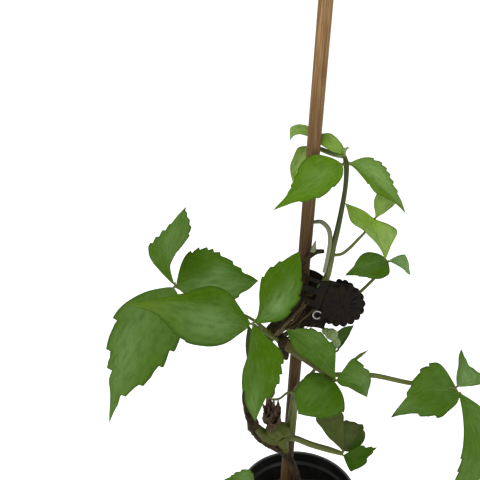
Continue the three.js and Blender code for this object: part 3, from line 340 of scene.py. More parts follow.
bm = bmesh.new()
bmesh.ops.create_circle(bm, cap_ends=True, radius=CANE_RADIUS, segments=36)
ring = list(bm.edges)
for _ in range(CANE_STEPS):
    made = bmesh.ops.extrude_edge_only(bm, edges=ring)["geom"]
    ring = only(BMEdge, made)
    bmesh.ops.translate(bm, vec=(0, 0, axis.length / CANE_STEPS), verts=only(BMVert, made))
bmesh.ops.contextual_create(bm, geom=ring)
bmesh.ops.recalc_face_normals(bm, faces=bm.faces)
rims = [e for e in bm.edges if e.calc_face_angle(0) > 1]
bmesh.ops.bevel(bm, geom=rims, offset=0.5, segments=2, affect="EDGES", profile=0.5, material=-1)
for vert in bm.verts:
    flute = noise.noise(Vector((vert.co.x * 0.8, vert.co.y * 0.8, vert.co.z * 0.004)))
    waver = noise.noise(Vector((3, 7, vert.co.z * 0.02)))
    scale = 1 + 0.03 * flute + 0.012 * waver - 0.02
    vert.co.x *= scale
    vert.co.y *= scale
stand = Matrix.Translation(CANE_FOOT) @ axis.to_track_quat("Z", "Y").to_matrix().to_4x4()
bmesh.ops.transform(bm, matrix=stand, verts=bm.verts)
piece("cane_stick", bm, [cane_wood], "cane")

# The old stem is woody. It rises from the compost, swings out to the left of the
# cane and comes back in front of it, and its dark bark peels off in long strips.
OLD_STEM = [
    (4, -8, 42), (1, -8, 76), (-3, -9.5, 110), (-9, -11.5, 128), (-17, -12.5, 141),
    (-26, -12.5, 149), (-34, -12, 157), (-38, -11, 168), (-40, -10.5, 182), (-38, -10, 198),
    (-33, -10, 213), (-27, -10.5, 228), (-20, -11.2, 241), (-11, -11.8, 253), (-3, -11.6, 262),
    (4, -11.7, 267.5),
]
BARK_FIBRES = 46
WOOD_FIBRES = 26
OLD_RADII = [2.8, 2.8, 2.9, 3.2, 3, 3.4, 3.2, 3.4, 2.8, 2.6, 2.6, 2.8, 3.4, 3, 2.4, 1.9]
BARK_STRIPS = [
    [(-22, -13, 236), (-16.5, -14.3, 244.5), (-12, -14, 251), (-8.5, -13, 256)],
    [(-27, -10, 227), (-20, -8.8, 243), (-12, -9.8, 255), (-5, -10.5, 262)],
    [(-28, -10, 226), (-27, -10, 236), (-21, -10.5, 244), (-15, -11, 250)],
]
UNDERSIDE = [(-36, -15, 160), (-31, -15, 152), (-25, -15, 146.5), (-19, -14.6, 142), (-13, -13.5, 136)]
DEAD_STUB = [(-19, -12, 234), (-16, -12, 227), (-14.2, -12, 220), (-13.6, -12, 215)]
BARE_STRAND = [(-25, -13.6, 229), (-20, -14.5, 236.5), (-14, -15, 245), (-7, -15, 254), (-1, -15, 262)]
KNOTS = [
    ((-30, -10.5, 221), (4.6, 4, 5)), ((-36.5, -11, 205), (3.8, 3.6, 4.6)),
    ((-35.6, -16, 163.5), (4.6, 4.4, 7.4)), ((-16.8, -15.6, 230), (3.6, 2.6, 6)),
]


def smooth_line(points, per_span):
    """Places on a smooth line through the points: (place, direction, spans so far)."""
    points = [Vector(p) for p in points]
    points = [2 * points[0] - points[1], *points, 2 * points[-1] - points[-2]]
    line = []
    spans = len(points) - 3
    for span in range(spans):
        before, first, second, after = points[span:span + 4]
        gaps = [math.sqrt((b - a).length) for a, b in ((before, first), (first, second), (second, after))]
        middle = (second - first) / gaps[1]
        leave = (first - before) / gaps[0] - (second - before) / (gaps[0] + gaps[1]) + middle
        arrive = middle - (after - first) / (gaps[1] + gaps[2]) + (after - second) / gaps[2]
        leave *= gaps[1]
        arrive *= gaps[1]
        for k in range(per_span + (span == spans - 1)):
            u = k / per_span
            curve = -3 * first + 3 * second - 2 * leave - arrive
            cube = 2 * first - 2 * second + leave + arrive
            place = first + leave * u + curve * u * u + cube * u ** 3
            heading = leave + 2 * curve * u + 3 * cube * u * u
            line.append((place, heading.normalized(), span + u))
    return line


def tube(bm, points, radii, sides=12, per_span=6, ribs=0, rib_depth=0.06, rough=0.0):
    """A round stem with closed ends. Its UV runs round it and along it."""
    line = smooth_line(points, per_span)
    steps = len(line) - 1
    verts, faces = sheet(bm, sides, steps, uvs=True)
    uv = bm.loops.layers.uv.active
    length = sum((b[0] - a[0]).length for a, b in zip(line, line[1:]))
    for face in faces:
        for loop in face.loops:
            loop[uv].uv.y *= length / 10
    sides_of = []
    side = None
    for place, heading, _ in line:
        if side is None:
            side = Vector((0, 1, 0)).cross(heading)
            if side.length < 0.2:
                side = Vector((1, 0, 0)).cross(heading)
        side = (side - heading * side.dot(heading)).normalized()
        sides_of.append((side, heading.cross(side)))
    for vert in verts:
        row = round((vert.co.y + 0.5) * steps)
        angle = math.tau * (vert.co.x + 0.5)
        place, _, spans = line[row]
        k = min(int(spans), len(radii) - 2)
        radius = radii[k] + (radii[k + 1] - radii[k]) * (spans - k)
        if ribs:
            radius *= 1 + rib_depth * math.cos(ribs * angle)
        side, other = sides_of[row]
        around = side * math.cos(angle) + other * math.sin(angle)
        if rough:
            coarse = noise.noise((place + around * radius) * 0.45)
            fine = noise.noise(Vector((around.x * 4, around.y * 4, row * 0.15 + around.z * 4)))
            radius *= 1 + rough * (coarse + 0.8 * fine)
        vert.co = place + around * radius
    seam = [v for v in verts if v.is_boundary]
    bmesh.ops.remove_doubles(bm, verts=seam, dist=0.002)
    faces = [f for f in faces if f.is_valid]
    caps = bmesh.ops.holes_fill(bm, edges=open_edges(faces), sides=0)["faces"]
    bmesh.ops.recalc_face_normals(bm, faces=faces + caps)
    return faces + caps


def new_mesh():
    """An empty mesh with a UV map and the paint that the leaf materials read."""
    bm = bmesh.new()
    bm.loops.layers.uv.new("UVMap")
    bm.verts.layers.float_color.new("paint")
    return bm


bark, tree, shader = finish("bark", 0.9, Specular_IOR_Level=0.2)
strands = drawn_out(tree, place_on(tree, "UV"), (9, 0.5), 3, 5, 0.7)
patches = speckle(tree, place_on(tree), 160, 4, 0.6)
shade = mix(tree, spread(tree, strands, 0.38, 0.68), (22, 17, 9), (88, 72, 46))
shade = mix(tree, spread(tree, patches, 0.45, 0.62, 0, 0.8), shade, (28, 23, 12))
feed(shader, "Base Color", shade)
relief(shader, strands, 0.9, 0.0008)

bare_wood, tree, shader = finish("bare_wood", 0.85, Specular_IOR_Level=0.2)
strands = drawn_out(tree, place_on(tree, "UV"), (7, 0.5), 3, 4, 0.6)
shade = mix(tree, spread(tree, strands, 0.35, 0.65), (62, 50, 30), (126, 108, 78))
feed(shader, "Base Color", shade)
relief(shader, strands, 0.7, 0.0005)

random.seed(5)
bm = new_mesh()
tube(bm, OLD_STEM, OLD_RADII, sides=22, per_span=9, rough=0.14)
for strip in BARK_STRIPS:
    tube(bm, strip, [0.9, 1.5, 1.4, 0.5], sides=8, per_span=8, rough=0.3)
for place, size in KNOTS:
    knot = stretched(place, size)
    lump = bmesh.ops.create_icosphere(bm, subdivisions=3, radius=1, matrix=knot)["verts"]
    for vert in lump:
        away = (vert.co - Vector(place)).normalized()
        vert.co += away * (0.9 * noise.noise(vert.co * 0.5) - 0.5)
path = smooth_line(OLD_STEM, 12)
for k in range(BARK_FIBRES):
    start = random.randrange(24, len(path) - 22)
    reach = random.randrange(8, 20)
    angle = math.tau * random.random()
    peel = random.uniform(0.2, 1.3)
    strip = []
    for j in range(5):
        place, heading, spans = path[min(start + reach * j // 4, len(path) - 1)]
        side = heading.cross(Vector((0, 1, 0))).normalized()
        around = side * math.cos(angle) + heading.cross(side) * math.sin(angle)
        strip.append(place + around * (2.75 + peel * (j / 4 if k % 2 else 1 - j / 4) ** 2))
    width = random.uniform(0.22, 0.55)
    tube(bm, strip, [width * 0.4, width, width, width * 0.8, width * 0.3], sides=5, per_span=3)
tube(bm, UNDERSIDE, [2.8, 3.4, 3.4, 3, 1.8], sides=18, rough=0.25)
tube(bm, DEAD_STUB, [2.4, 2.9, 2.7, 1.3], sides=16, rough=0.3)
for f in tube(bm, BARE_STRAND, [1.1, 1.6, 1.5, 1.2, 0.4], sides=14, per_span=8, rough=0.2):
    f.material_index = 1
for k in range(WOOD_FIBRES):
    foot = Vector((random.uniform(-24, -15), -13.5, random.uniform(229, 241)))
    head = foot + Vector((random.uniform(13, 24), random.uniform(-4.5, -2.5), random.uniform(15, 26)))
    middle = foot.lerp(head, 0.5) + Vector((random.uniform(-1, 2), -1, random.uniform(-2, 1)))
    width = random.uniform(0.3, 0.6)
    for f in tube(bm, [foot, middle, head], [width, width, width * 0.3], sides=6, per_span=8):
        f.material_index = k % 3 == 0
piece("woody_stem", bm, [bark, bare_wood], "old_stem")

# The green shoots grow from the end of the old stem and from its elbow. They are
# ribbed lengthwise, grey green at the foot and dark green higher up.
GREEN_SHOOT = [
    (5.5, -12, 268.6), (9.6, -11.4, 274), (12, -11, 286), (13.2, -11, 297), (15, -12, 309),
    (16.6, -13, 323), (17.8, -13, 335), (18, -13, 345), (17.4, -13, 352), (16.2, -12.5, 356.3),
]
GREEN_RADII = [1.8, 2.1, 2, 1.9, 1.7, 1.5, 1.35, 1.4, 1.6, 1.0]
SHOOT_TIP = [(16.4, -12.6, 355.5), (16.1, -12.3, 358), (16.8, -12, 360.2), (17.8, -12, 361.6)]
LOWER_SHOOT = [
    (-35, -15.5, 166), (-30.5, -15.5, 157), (-22, -15, 151), (-13, -14, 152), (-8.5, -13, 163),
    (-7.5, -12.5, 176), (-6, -12, 188), (-1, -12, 197),
]
LOWER_RADII = [1.4, 3.6, 5.2, 4.8, 3.2, 2.8, 2.7, 1.8]


def shoot_finish(name, low, high, dark, foot, top):
    """Ribbed green stem that turns from one green to another between two heights."""
    made, tree, shader = finish(name, 0.55, Specular_IOR_Level=0.2)
    where = place_on(tree)
    streaks = drawn_out(tree, place_on(tree, "UV"), (6, 0.4), 3)
    up = add(tree, "ShaderNodeSeparateXYZ", {0: where}).outputs[2]
    shade = mix(tree, spread(tree, up, foot, top), low, high)
    shade = mix(tree, spread(tree, streaks, 0.5, 0.7, 0, 0.55), shade, dark)
    blotch = speckle(tree, where, 220)
    shade = mix(tree, spread(tree, blotch, 0.55, 0.75, 0, 0.5), shade, dark)
    feed(shader, "Base Color", shade)
    relief(shader, streaks, 0.4, 0.0003)
    return made


green_stem = shoot_finish("green_stem", (100, 108, 62), (62, 71, 28), (48, 56, 22), 0.280, 0.312)
elbow_stem = shoot_finish("elbow_stem", (74, 82, 26), (106, 110, 66), (44, 40, 14), 0.162, 0.182)
tip_stem = shoot_finish("tip_stem", (104, 124, 66), (126, 146, 84), (84, 104, 50), 0.352, 0.362)
bm = new_mesh()
tube(bm, GREEN_SHOOT, GREEN_RADII, sides=24, per_span=7, ribs=6, rib_depth=0.07)
for f in tube(bm, SHOOT_TIP, [1.05, 0.8, 0.75, 0.15], sides=12, per_span=6, ribs=4):
    f.material_index = 1
for away, reach in ((-2.6, 1.8), (2.2, 0.6)):
    sliver = [(16.6, -12, 359.5), (16.8 + away / 2, -12, 360.8), (17 + away, -12, 360.4 + reach / 2)]
    for f in tube(bm, sliver, [0.7, 0.5, 0.12], sides=8, per_span=4):
        f.material_index = 1
piece("climbing_shoot", bm, [green_stem, tip_stem], "green_shoot")
bm = new_mesh()
tube(bm, LOWER_SHOOT, LOWER_RADII, sides=28, per_span=9, ribs=6, rib_depth=0.04, rough=0.16)
swelling = stretched((-18.2, -16.2, 157.5), (8.8, 4.4, 8.2))
lump = bmesh.ops.create_icosphere(bm, subdivisions=4, radius=1, matrix=swelling)["verts"]
for vert in lump:
    vert.co += noise.noise_vector(vert.co * 0.22) * 1.8
tube(bm, [(-17, -15.5, 153), (-14, -15, 146), (-11.5, -13.8, 138)], [5.5, 4, 2], sides=20, rough=0.16)
piece("elbow_shoot", bm, [elbow_stem], "lower_shoot")

# The leaves are thin, toothed and a little folded along the midrib. Each grows on a
# stalk and most have three leaflets, which spring from the stalk's end.
OUTLINE_POWER = 1.3
BLADE_THICKNESS = 0.35
TOOTH_STEP = 0.5
TOOTH_FADE = 8
BLADE_ROWS = 40
VEIN_SHARE = 0.2
YOUNG_TINT = (124, 148, 40)
LEAF_EDGE = (50, 74, 22)
BROWNED = (62, 48, 36)


def half_width(widths, s):
    """Half width at s, on a smooth line through five widths from base to tip."""
    values = (0.35, *widths, 0.1)
    last = len(values) - 1
    place = s ** (1 / OUTLINE_POWER) * last
    k = min(int(place), last - 1)
    u = place - k
    before, first, second, after = (values[min(max(k + j, 0), last)] for j in (-1, 0, 1, 2))
    leave = (second - before) / 2 if k else second - first
    arrive = (after - first) / 2 if k < last - 1 else second - first
    curve = 3 * (second - first) - 2 * leave - arrive
    cube = 2 * (first - second) + leave + arrive
    return max(first + leave * u + curve * u ** 2 + cube * u ** 3, 0.1)


def bite(s, cuts, length):
    """How deep the margin is cut at s, from 0 to 1. Each tooth ends in a step."""
    past = [c for c in cuts if c < s - 1e-6]
    if not past:
        return 0
    gone = (s - past[-1]) * length
    if gone < TOOTH_STEP:
        return gone / TOOTH_STEP
    following = [c for c in cuts if c > past[-1]]
    end = (following[0] - past[-1]) * length if following else TOOTH_FADE
    return max(0, 1 - (gone - TOOTH_STEP) / (end - TOOTH_STEP))


def leaflet(bm, hub, base, tip, face, left, right, arch, seed, bow=0, fold=0.2, cuts=((), ()),
            tooth=1, wave=0.5, sheen_patches=(), fresh_and_shaded=0.6, brown=0.0, yellow=0.0, sides=20):
    """One toothed blade. left and right are its half widths and cuts its teeth."""
    start = Vector(base)
    run = Vector(tip) - start
    length = run.length
    along = run.normalized()
    across = along.cross(Vector(face)).normalized()
    out = across.cross(along)
    veins = max(3, round(length / 9))
    widest = max(*left, *right)
    sharp = [c + k * TOOTH_STEP / length for c in sorted({*cuts[0], *cuts[1]}) for k in (0, 1)]
    stops = [0, *sharp, 1]
    for k in range(1, BLADE_ROWS):
        stop = (k / BLADE_ROWS) ** OUTLINE_POWER
        if min(abs(stop - other) for other in sharp or [2]) > 0.2 / length:
            stops.append(stop)
    stops.sort()
    rows = len(stops) - 1
    verts, faces = sheet(bm, sides, rows, uvs=True)
    uv = bm.loops.layers.uv.active
    painted = bm.verts.layers.float_color["paint"]
    for f in faces:
        for loop in f.loops:
            loop[uv].uv.y = stops[round(loop[uv].uv.y * rows)] * veins
    # How much deep green each half gets is partly the leaf's own tone and partly painted shade on the half
    # turned from the light.
    pair = fresh_and_shaded if isinstance(fresh_and_shaded, tuple) else (fresh_and_shaded, fresh_and_shaded)
    for vert in verts:
        t = 2 * vert.co.x
        s = stops[round((vert.co.y + 0.5) * rows)]
        side = t > 0
        reach = half_width(right if side else left, s)
        plump = min(reach / widest * 1.6, 1) * min(s * 12, 1)
        deep = tooth * (1 + 0.3 * noise.noise(Vector((s * 23, 5 * side, seed))))
        reach = max(reach - deep * min(1, reach / 4) * bite(s, cuts[side], length), 0.1)
        u = s - 0.1 * 4 * s * (1 - s) * (1 - abs(t))
        bend = 4 * u * (1 - u)
        offset = t * reach
        vein = math.cos(math.tau * (s - 0.12 * abs(t)) * veins)
        lift = fold * math.sqrt(offset * offset + 0.6)
        lift += wave * math.sin(9 * s + 3.1 * seed + (1.6 if side else 0)) * abs(t) ** 3 * plump
        lift -= 0.22 * vein * math.sin(math.pi * min(abs(t) * 1.15, 1)) * plump
        spot = Vector((u * length, offset, 7 * seed))
        lift += plump * (1.1 * noise.noise(spot * 0.07) + 0.5 * noise.noise(spot * 0.22))
        vert.co = (
            start + along * length * u + across * (bow * bend + offset) + out * (arch * bend + lift)
        )
        # Painted sheen: pale patches that stand in for the gloss of the sky on the blade.
        painted_sheen = 0
        for t0, s0, wide, tall, strength in sheen_patches:
            painted_sheen += strength * math.exp(-((t - t0) / wide) ** 2 - ((s - s0) / tall) ** 2)
        share = min(max(t / 0.5, -1), 1) * 0.5 + 0.5
        tipped = brown * min(max((s - 0.93) / 0.05, 0), 1)
        gold = yellow * min(max((s - 0.55) / 0.4, 0), 1)
        vert[painted] = (min(painted_sheen, 1), pair[0] + (pair[1] - pair[0]) * share, tipped, gold)
    under = bmesh.ops.extrude_face_region(bm, geom=faces, use_keep_orig=True)["geom"]
    lowered = only(BMVert, under)
    bmesh.ops.translate(bm, vec=-BLADE_THICKNESS * out, verts=lowered)
    for f in only(BMFace, under):
        f.material_index = 1
    bmesh.ops.recalc_face_normals(bm, faces=list(dict.fromkeys(faces_of(lowered) + faces)))
    neck = [Vector(hub), (Vector(hub) + start) / 2, start + along * length * 0.04]
    for f in tube(bm, neck, [0.9, 0.75, 0.45], sides=8, per_span=4):
        f.material_index = 2


def veins_group():
    """Midrib, side veins and fine net of a leaf, as a mask and a height."""
    group = bpy.data.node_groups.new("leaf_veins", "ShaderNodeTree")
    for name in ("UV", "Place"):
        group.interface.new_socket(name, in_out="INPUT", socket_type="NodeSocketVector")
    for name in ("Mask", "Height", "Streaks"):
        group.interface.new_socket(name, in_out="OUTPUT", socket_type="NodeSocketFloat")
    given = add(group, "NodeGroupInput")
    split = add(group, "ShaderNodeSeparateXYZ", {0: given.outputs[0]})
    side = sums(group, "ABSOLUTE", sums(group, "MULTIPLY_ADD", split.outputs[0], 2, -1))
    wobble = speckle(group, given.outputs[1], 160, 2)
    phase = sums(group, "MULTIPLY_ADD", side, -0.9, split.outputs[1])
    phase = sums(group, "ADD", phase, sums(group, "MULTIPLY", wobble, 0.35))
    saw = sums(group, "ABSOLUTE", sums(group, "SUBTRACT", sums(group, "FRACT", phase), 0.5))
    lateral = spread(group, saw, 0.06, 0.0)
    lateral = sums(group, "MULTIPLY", lateral, spread(group, side, 1.0, 0.55))
    midrib = spread(group, side, 0.06, 0.015)
    cells = {"Vector": given.outputs[1], "Scale": 420}
    net = add(group, "ShaderNodeTexVoronoi", cells, feature="DISTANCE_TO_EDGE")
    mesh = spread(group, net.outputs[0], 0.09, 0.0, 0, 0.35)
    lines = sums(group, "MAXIMUM", midrib, sums(group, "MULTIPLY", lateral, 0.6))
    mask = sums(group, "MAXIMUM", lines, mesh)
    streaks = drawn_out(group, given.outputs[0], (7, 0.5), 2, 3, 0.5)
    rough = sums(group, "MULTIPLY", speckle(group, given.outputs[1], 700, 2), 0.35)
    rough = sums(group, "ADD", rough, sums(group, "MULTIPLY", streaks, 0.9))
    leave = add(group, "NodeGroupOutput")
    for k, value in enumerate((mask, sums(group, "SUBTRACT", rough, mask), streaks)):
        group.links.new(value, leave.inputs[k])
    return group


leaf_veins = veins_group()


def leaf_finish(name, dull, fresh_and_shaded, pale, vein, roughness):
    """Leaf surface: mottled greens that also carry painted shade, veins, a painted pale sheen and browned
    tips.
    """
    made, tree, shader = finish(name, roughness)
    shader.inputs["Specular IOR Level"].default_value = 0.06
    shader.inputs["Subsurface Weight"].default_value = 0.12
    shader.inputs["Subsurface Radius"].default_value = (0.4, 1.0, 0.15)
    shader.inputs["Subsurface Scale"].default_value = 0.001
    where = add(tree, "ShaderNodeTexCoord")
    place = where.outputs["Object"]
    paint = add(tree, "ShaderNodeAttribute", attribute_name="paint")
    paints = add(tree, "ShaderNodeSeparateColor", {0: paint.outputs["Color"]})
    veins = add(tree, "ShaderNodeGroup", node_tree=leaf_veins)
    tree.links.new(where.outputs["UV"], veins.inputs[0])
    tree.links.new(place, veins.inputs[1])
    cloud = speckle(tree, place, 75, 3)
    # The mix from the dull to the deep green holds both the leaf's own tone and the painted shade of half
    # blades.
    share = sums(tree, "ADD", paints.outputs[1], spread(tree, cloud, 0.35, 0.65, -0.45, 0.45))
    shade = mix(tree, spread(tree, share, 0, 1), dull, fresh_and_shaded)
    shade = mix(tree, paint.outputs["Alpha"], shade, YOUNG_TINT)
    grain = speckle(tree, place, 260, 3)
    # Painted sheen: the pale patches in the paint's red channel, broken up by the streaks.
    painted_sheen = sums(tree, "MULTIPLY", paints.outputs[0], spread(tree, veins.outputs[2], 0.65, 0.35, 0.75, 1.1))
    shade = mix(tree, spread(tree, painted_sheen, 0, 1), shade, pale)
    shade = mix(tree, spread(tree, veins.outputs[2], 0.5, 0.75, 0, 0.36), shade, LEAF_EDGE)
    shade = mix(tree, spread(tree, veins.outputs[2], 0.46, 0.24, 0, 0.12), shade, pale)
    shade = mix(tree, sums(tree, "MULTIPLY", veins.outputs[0], VEIN_SHARE), shade, vein)
    side = add(tree, "ShaderNodeSeparateXYZ", {0: where.outputs["UV"]}).outputs[0]
    edge = sums(tree, "ABSOLUTE", sums(tree, "MULTIPLY_ADD", side, 2, -1))
    shade = mix(tree, spread(tree, edge, 0.88, 1, 0, 0.75), shade, LEAF_EDGE)
    shade = mix(tree, paints.outputs[2], shade, BROWNED)
    feed(shader, "Base Color", shade)
    feed(shader, "Roughness", spread(tree, grain, 0.3, 0.7, roughness - 0.08, roughness + 0.12))
    relief(shader, veins.outputs[1], 0.7, 0.0004)
    return made


leaf_top = leaf_finish("leaf_top", (82, 112, 44), (70, 104, 0), (118, 150, 90), (106, 132, 58), 0.45)
leaf_under = leaf_finish("leaf_under", (98, 118, 66), (104, 126, 62), (124, 140, 92), (126, 142, 96), 0.65)
fresh_top = leaf_finish("fresh_top", (98, 130, 52), (88, 126, 14), (128, 160, 92), (116, 144, 68), 0.45)
young_top = leaf_finish("young_top", (130, 162, 78), (118, 152, 42), (154, 178, 108), (150, 172, 96), 0.5)
dull_top = leaf_finish("dull_top", (74, 80, 42), (62, 94, 22), (100, 116, 74), (96, 108, 66), 0.6)
stalk_green = shoot_finish("stalk_green", (100, 107, 56), (98, 108, 52), (76, 84, 38), 0.1, 0.3)


def grow_leaf(node, slot, top, stalk, radii, *leaflets, stalks=stalk_green):
    """A whole leaf: the stalk and the leaflets that spring from its end."""
    bm = new_mesh()
    for k, values in enumerate(leaflets):
        leaflet(bm, **{"hub": stalk[-1], "seed": k + len(node), **values})
    for f in tube(bm, stalk, radii, sides=12, per_span=7, ribs=5, rib_depth=0.05):
        f.material_index = 2
    piece(node + "_blades", bm, [top, leaf_under, stalks], node)


pale_stalk = shoot_finish("pale_stalk", (138, 142, 114), (134, 138, 108), (96, 100, 74), 0.1, 0.3)

# The outlines of all leaflets but the one of leaf_twining were read off the photograph as
# points. A program turned these points into the half widths, the bow and the tooth places,
# and rounded them. They weren't chosen by hand.
grow_leaf(
    "leaf_left_front", "leaf", leaf_top,
    [(-18.5, -13, 230.5), (-24, -22, 238.5), (-30, -30, 248), (-37, -36.5, 257.5)],
    [1.3, 1, 0.95, 1],
    dict(
        base=(-38.5, -37, 257.6), tip=(-110, -52, 280), face=(0, -0.8, 0.6),
        left=(9.5, 19.5, 24, 22, 8), right=(5, 11, 11.5, 5.5, 1.5),
        bow=6, arch=6, fold=0.35, cuts=((0.55, 0.65, 0.75), (0.55, 0.65)), tooth=0.8,
        fresh_and_shaded=(0.35, 1), yellow=0.35, sheen_patches=[(-0.35, 0.42, 0.45, 0.26, 0.75)],
    ),
    dict(
        base=(-36, -37, 258.8), tip=(-10, -34, 305), face=(-0.2, -0.9, 0.3),
        left=(1, 4, 9, 12, 8), right=(6, 12, 14, 14, 9.5),
        bow=1.5, arch=3, fold=0.25, cuts=((0.55, 0.7, 0.8), (0.4, 0.6, 0.75)), tooth=1.2,
        fresh_and_shaded=(1, 0.85), sheen_patches=[(0.4, 0.4, 0.38, 0.28, 0.8)],
    ),
    dict(
        base=(-36.5, -37, 256.5), tip=(-35, -46, 191), face=(0.1, -0.9, 0.4),
        left=(7, 15, 15, 11.5, 3.5), right=(3, 5.5, 10, 10.5, 7),
        bow=-2, arch=5, fold=0.25, cuts=((0.35, 0.45, 0.55, 0.7), (0.6,)), tooth=1.5,
        fresh_and_shaded=(1, 0.6), sheen_patches=[(0.3, 0.78, 0.5, 0.15, 0.4)],
    ),
)
grow_leaf(
    "leaf_left_far", "leaf", leaf_top,
    [
        (-24, -11, 234), (-38, -14, 248), (-60, -14, 258), (-76, -13, 265),
        (-85.5, -12.5, 270.5),
    ],
    [1.3, 1, 0.95, 0.95, 1],
    dict(
        base=(-86, -13, 271.5), tip=(-78, -4, 321), face=(-0.6, -0.75, 0.2),
        left=(6, 12.5, 12.5, 6.5, 1.5), right=(1, 3, 10, 17, 18),
        bow=-9, arch=3, fold=0.25, cuts=((0.45, 0.55, 0.65, 0.75, 0.9), (0.72, 0.82, 0.89, 0.95)),
        tooth=1.7, fresh_and_shaded=(0.3, 0.3), sheen_patches=[(0.1, 0.7, 0.6, 0.25, 0.35)],
    ),
    dict(
        base=(-85, -13, 271.5), tip=(-33, -10, 273), face=(0, -0.75, 0.65),
        left=(14, 18.5, 18, 13.5, 6), right=(8, 15, 18.5, 18, 12.5),
        bow=-3.5, arch=4, fold=0.3, cuts=((0.2, 0.3, 0.4, 0.47, 0.55, 0.7, 0.8), (0.75,)),
        tooth=1.9, fresh_and_shaded=(0.75, 0.4),
        sheen_patches=[(0.4, 0.5, 0.5, 0.35, 0.6), (-0.3, 0.62, 0.3, 0.15, 0.5)],
    ),
    dict(
        base=(-87, -14, 270.5), tip=(-131, -34, 180), face=(0.1, -0.9, 0.45),
        left=(15.5, 24, 25.5, 19.5, 7), right=(12.5, 18.5, 16, 9, 1.5),
        bow=9, arch=9, cuts=((0.33, 0.45, 0.62, 0.75), (0.3, 0.5, 0.62)), tooth=3, fresh_and_shaded=(0, 0.2),
        sheen_patches=[(0.3, 0.35, 0.5, 0.3, 0.35), (0, 0.7, 0.6, 0.3, 0.4)],
    ),
)
grow_leaf(
    "leaf_grey_back", "dull_leaf", dull_top,
    [(-6.5, -12.5, 188), (-12, -16, 190.5), (-18, -20, 188.5), (-22, -21, 188.5)],
    [1, 0.8, 0.8, 0.9],
    dict(
        base=(-24, -21, 189), tip=(-39.5, -24, 249.3), face=(-0.1, -0.9, 0.3),
        left=(3.5, 5.5, 6.5, 5.5, 4), right=(5, 7, 8, 8, 6),
        bow=-1.5, arch=2, fold=0.25, fresh_and_shaded=0.1,
    ),
)
brown_stalk = shoot_finish("brown_stalk", (94, 92, 50), (88, 86, 44), (48, 42, 18), 0.2, 0.24)
grow_leaf(
    "leaf_centre", "leaf", leaf_top,
    [
        (-26, -11, 236), (-19, -12, 232.3), (-14, -13.5, 227.6), (-4.5, -17.5, 222.4),
        (6.3, -24, 217), (16.2, -29.6, 211.8),
    ],
    [3.4, 3.7, 4, 3.5, 2.8, 1.8],
    dict(
        hub=(17.8, -30.3, 210.8), base=(17, -30.5, 211.5), tip=(-16.5, -38, 254.5),
        face=(0.2, -0.8, 0.6),
        left=(1.5, 3.5, 5, 6.5, 7), right=(2.5, 7, 11.5, 12, 10.5),
        bow=1, arch=5, fold=0.25, cuts=((), (0.5, 0.7, 0.8, 0.92)), tooth=1.1, fresh_and_shaded=(0.75, 0.5),
        sheen_patches=[(-0.5, 0.75, 0.4, 0.2, 0.2), (0.6, 0.8, 0.4, 0.2, 0.2)],
    ),
    dict(
        base=(18, -30, 211), tip=(40.6, -22.5, 191.7), face=(0.3, -0.7, 0.6),
        left=(15, 14, 12.5, 12, 10), right=(3.5, 4, 5, 5, 3.5),
        bow=-3, arch=5, fold=0.25, cuts=((0.4, 0.65, 0.9, 0.96), ()), tooth=1.4, fresh_and_shaded=(0.3, 0.5),
        sheen_patches=[(-0.3, 0.55, 0.5, 0.4, 0.35)],
    ),
    dict(
        base=(17, -31, 210), tip=(-8, -49, 199), face=(0, -0.55, 0.83),
        left=(8.5, 14, 17.5, 16, 11), right=(9, 13, 15, 14, 12),
        bow=-1.5, arch=6, cuts=((0.4, 0.7, 0.8, 0.95), ()), tooth=1, fresh_and_shaded=(0.7, 0.9),
        sheen_patches=[(0.3, 0.6, 0.4, 0.3, 0.2)],
    ),
    stalks=brown_stalk,
)
grow_leaf(
    "leaf_right_far", "leaf", leaf_top,
    [
        (0, -12, 198.5), (10, -13, 202), (26.4, -12.8, 202.9), (44.9, -14.5, 203.5),
        (69.5, -19.5, 200.9), (97, -25, 201),
    ],
    [1.6, 1.7, 1.75, 1.75, 1.6, 1.1],
    dict(
        hub=(101.8, -26, 198.3), base=(100.5, -26, 197.5), tip=(55, -34, 184), face=(0, -0.8, 0.6),
        left=(8, 13, 17, 14, 6.5), right=(17.5, 19, 16, 9.5, 2.5),
        bow=8, arch=5, cuts=((0.45, 0.65), (0.27, 0.42, 0.57, 0.7)), tooth=1.7, fresh_and_shaded=(0.15, 0.3),
        brown=1, sheen_patches=[(0.1, 0.85, 0.6, 0.12, 0.5)],
    ),
    dict(
        base=(99.5, -25, 202), tip=(102, -14, 224), face=(0.35, -0.9, 0.2),
        left=(3, 5, 6.5, 6.5, 5), right=(15, 15, 12.5, 4.5, 1.5),
        bow=2, arch=2, cuts=((), (0.42, 0.55, 0.78)), tooth=1, fresh_and_shaded=0.1, brown=0.6,
        sheen_patches=[(0.3, 0.4, 0.8, 0.5, 0.75)],
    ),
    dict(
        base=(101, -26, 197.5), tip=(107, -44, 122), face=(-0.3, -0.85, 0.4),
        left=(8.5, 11, 6.5, 1, 0.5), right=(4.5, 9, 13, 16, 14.5),
        bow=-14.8, arch=7, fold=0.25, cuts=((0.53, 0.75), (0.53, 0.65)), tooth=1.3,
        fresh_and_shaded=(0.1, 0.3), sheen_patches=[(-0.3, 0.3, 0.5, 0.3, 0.2)],
    ),
)
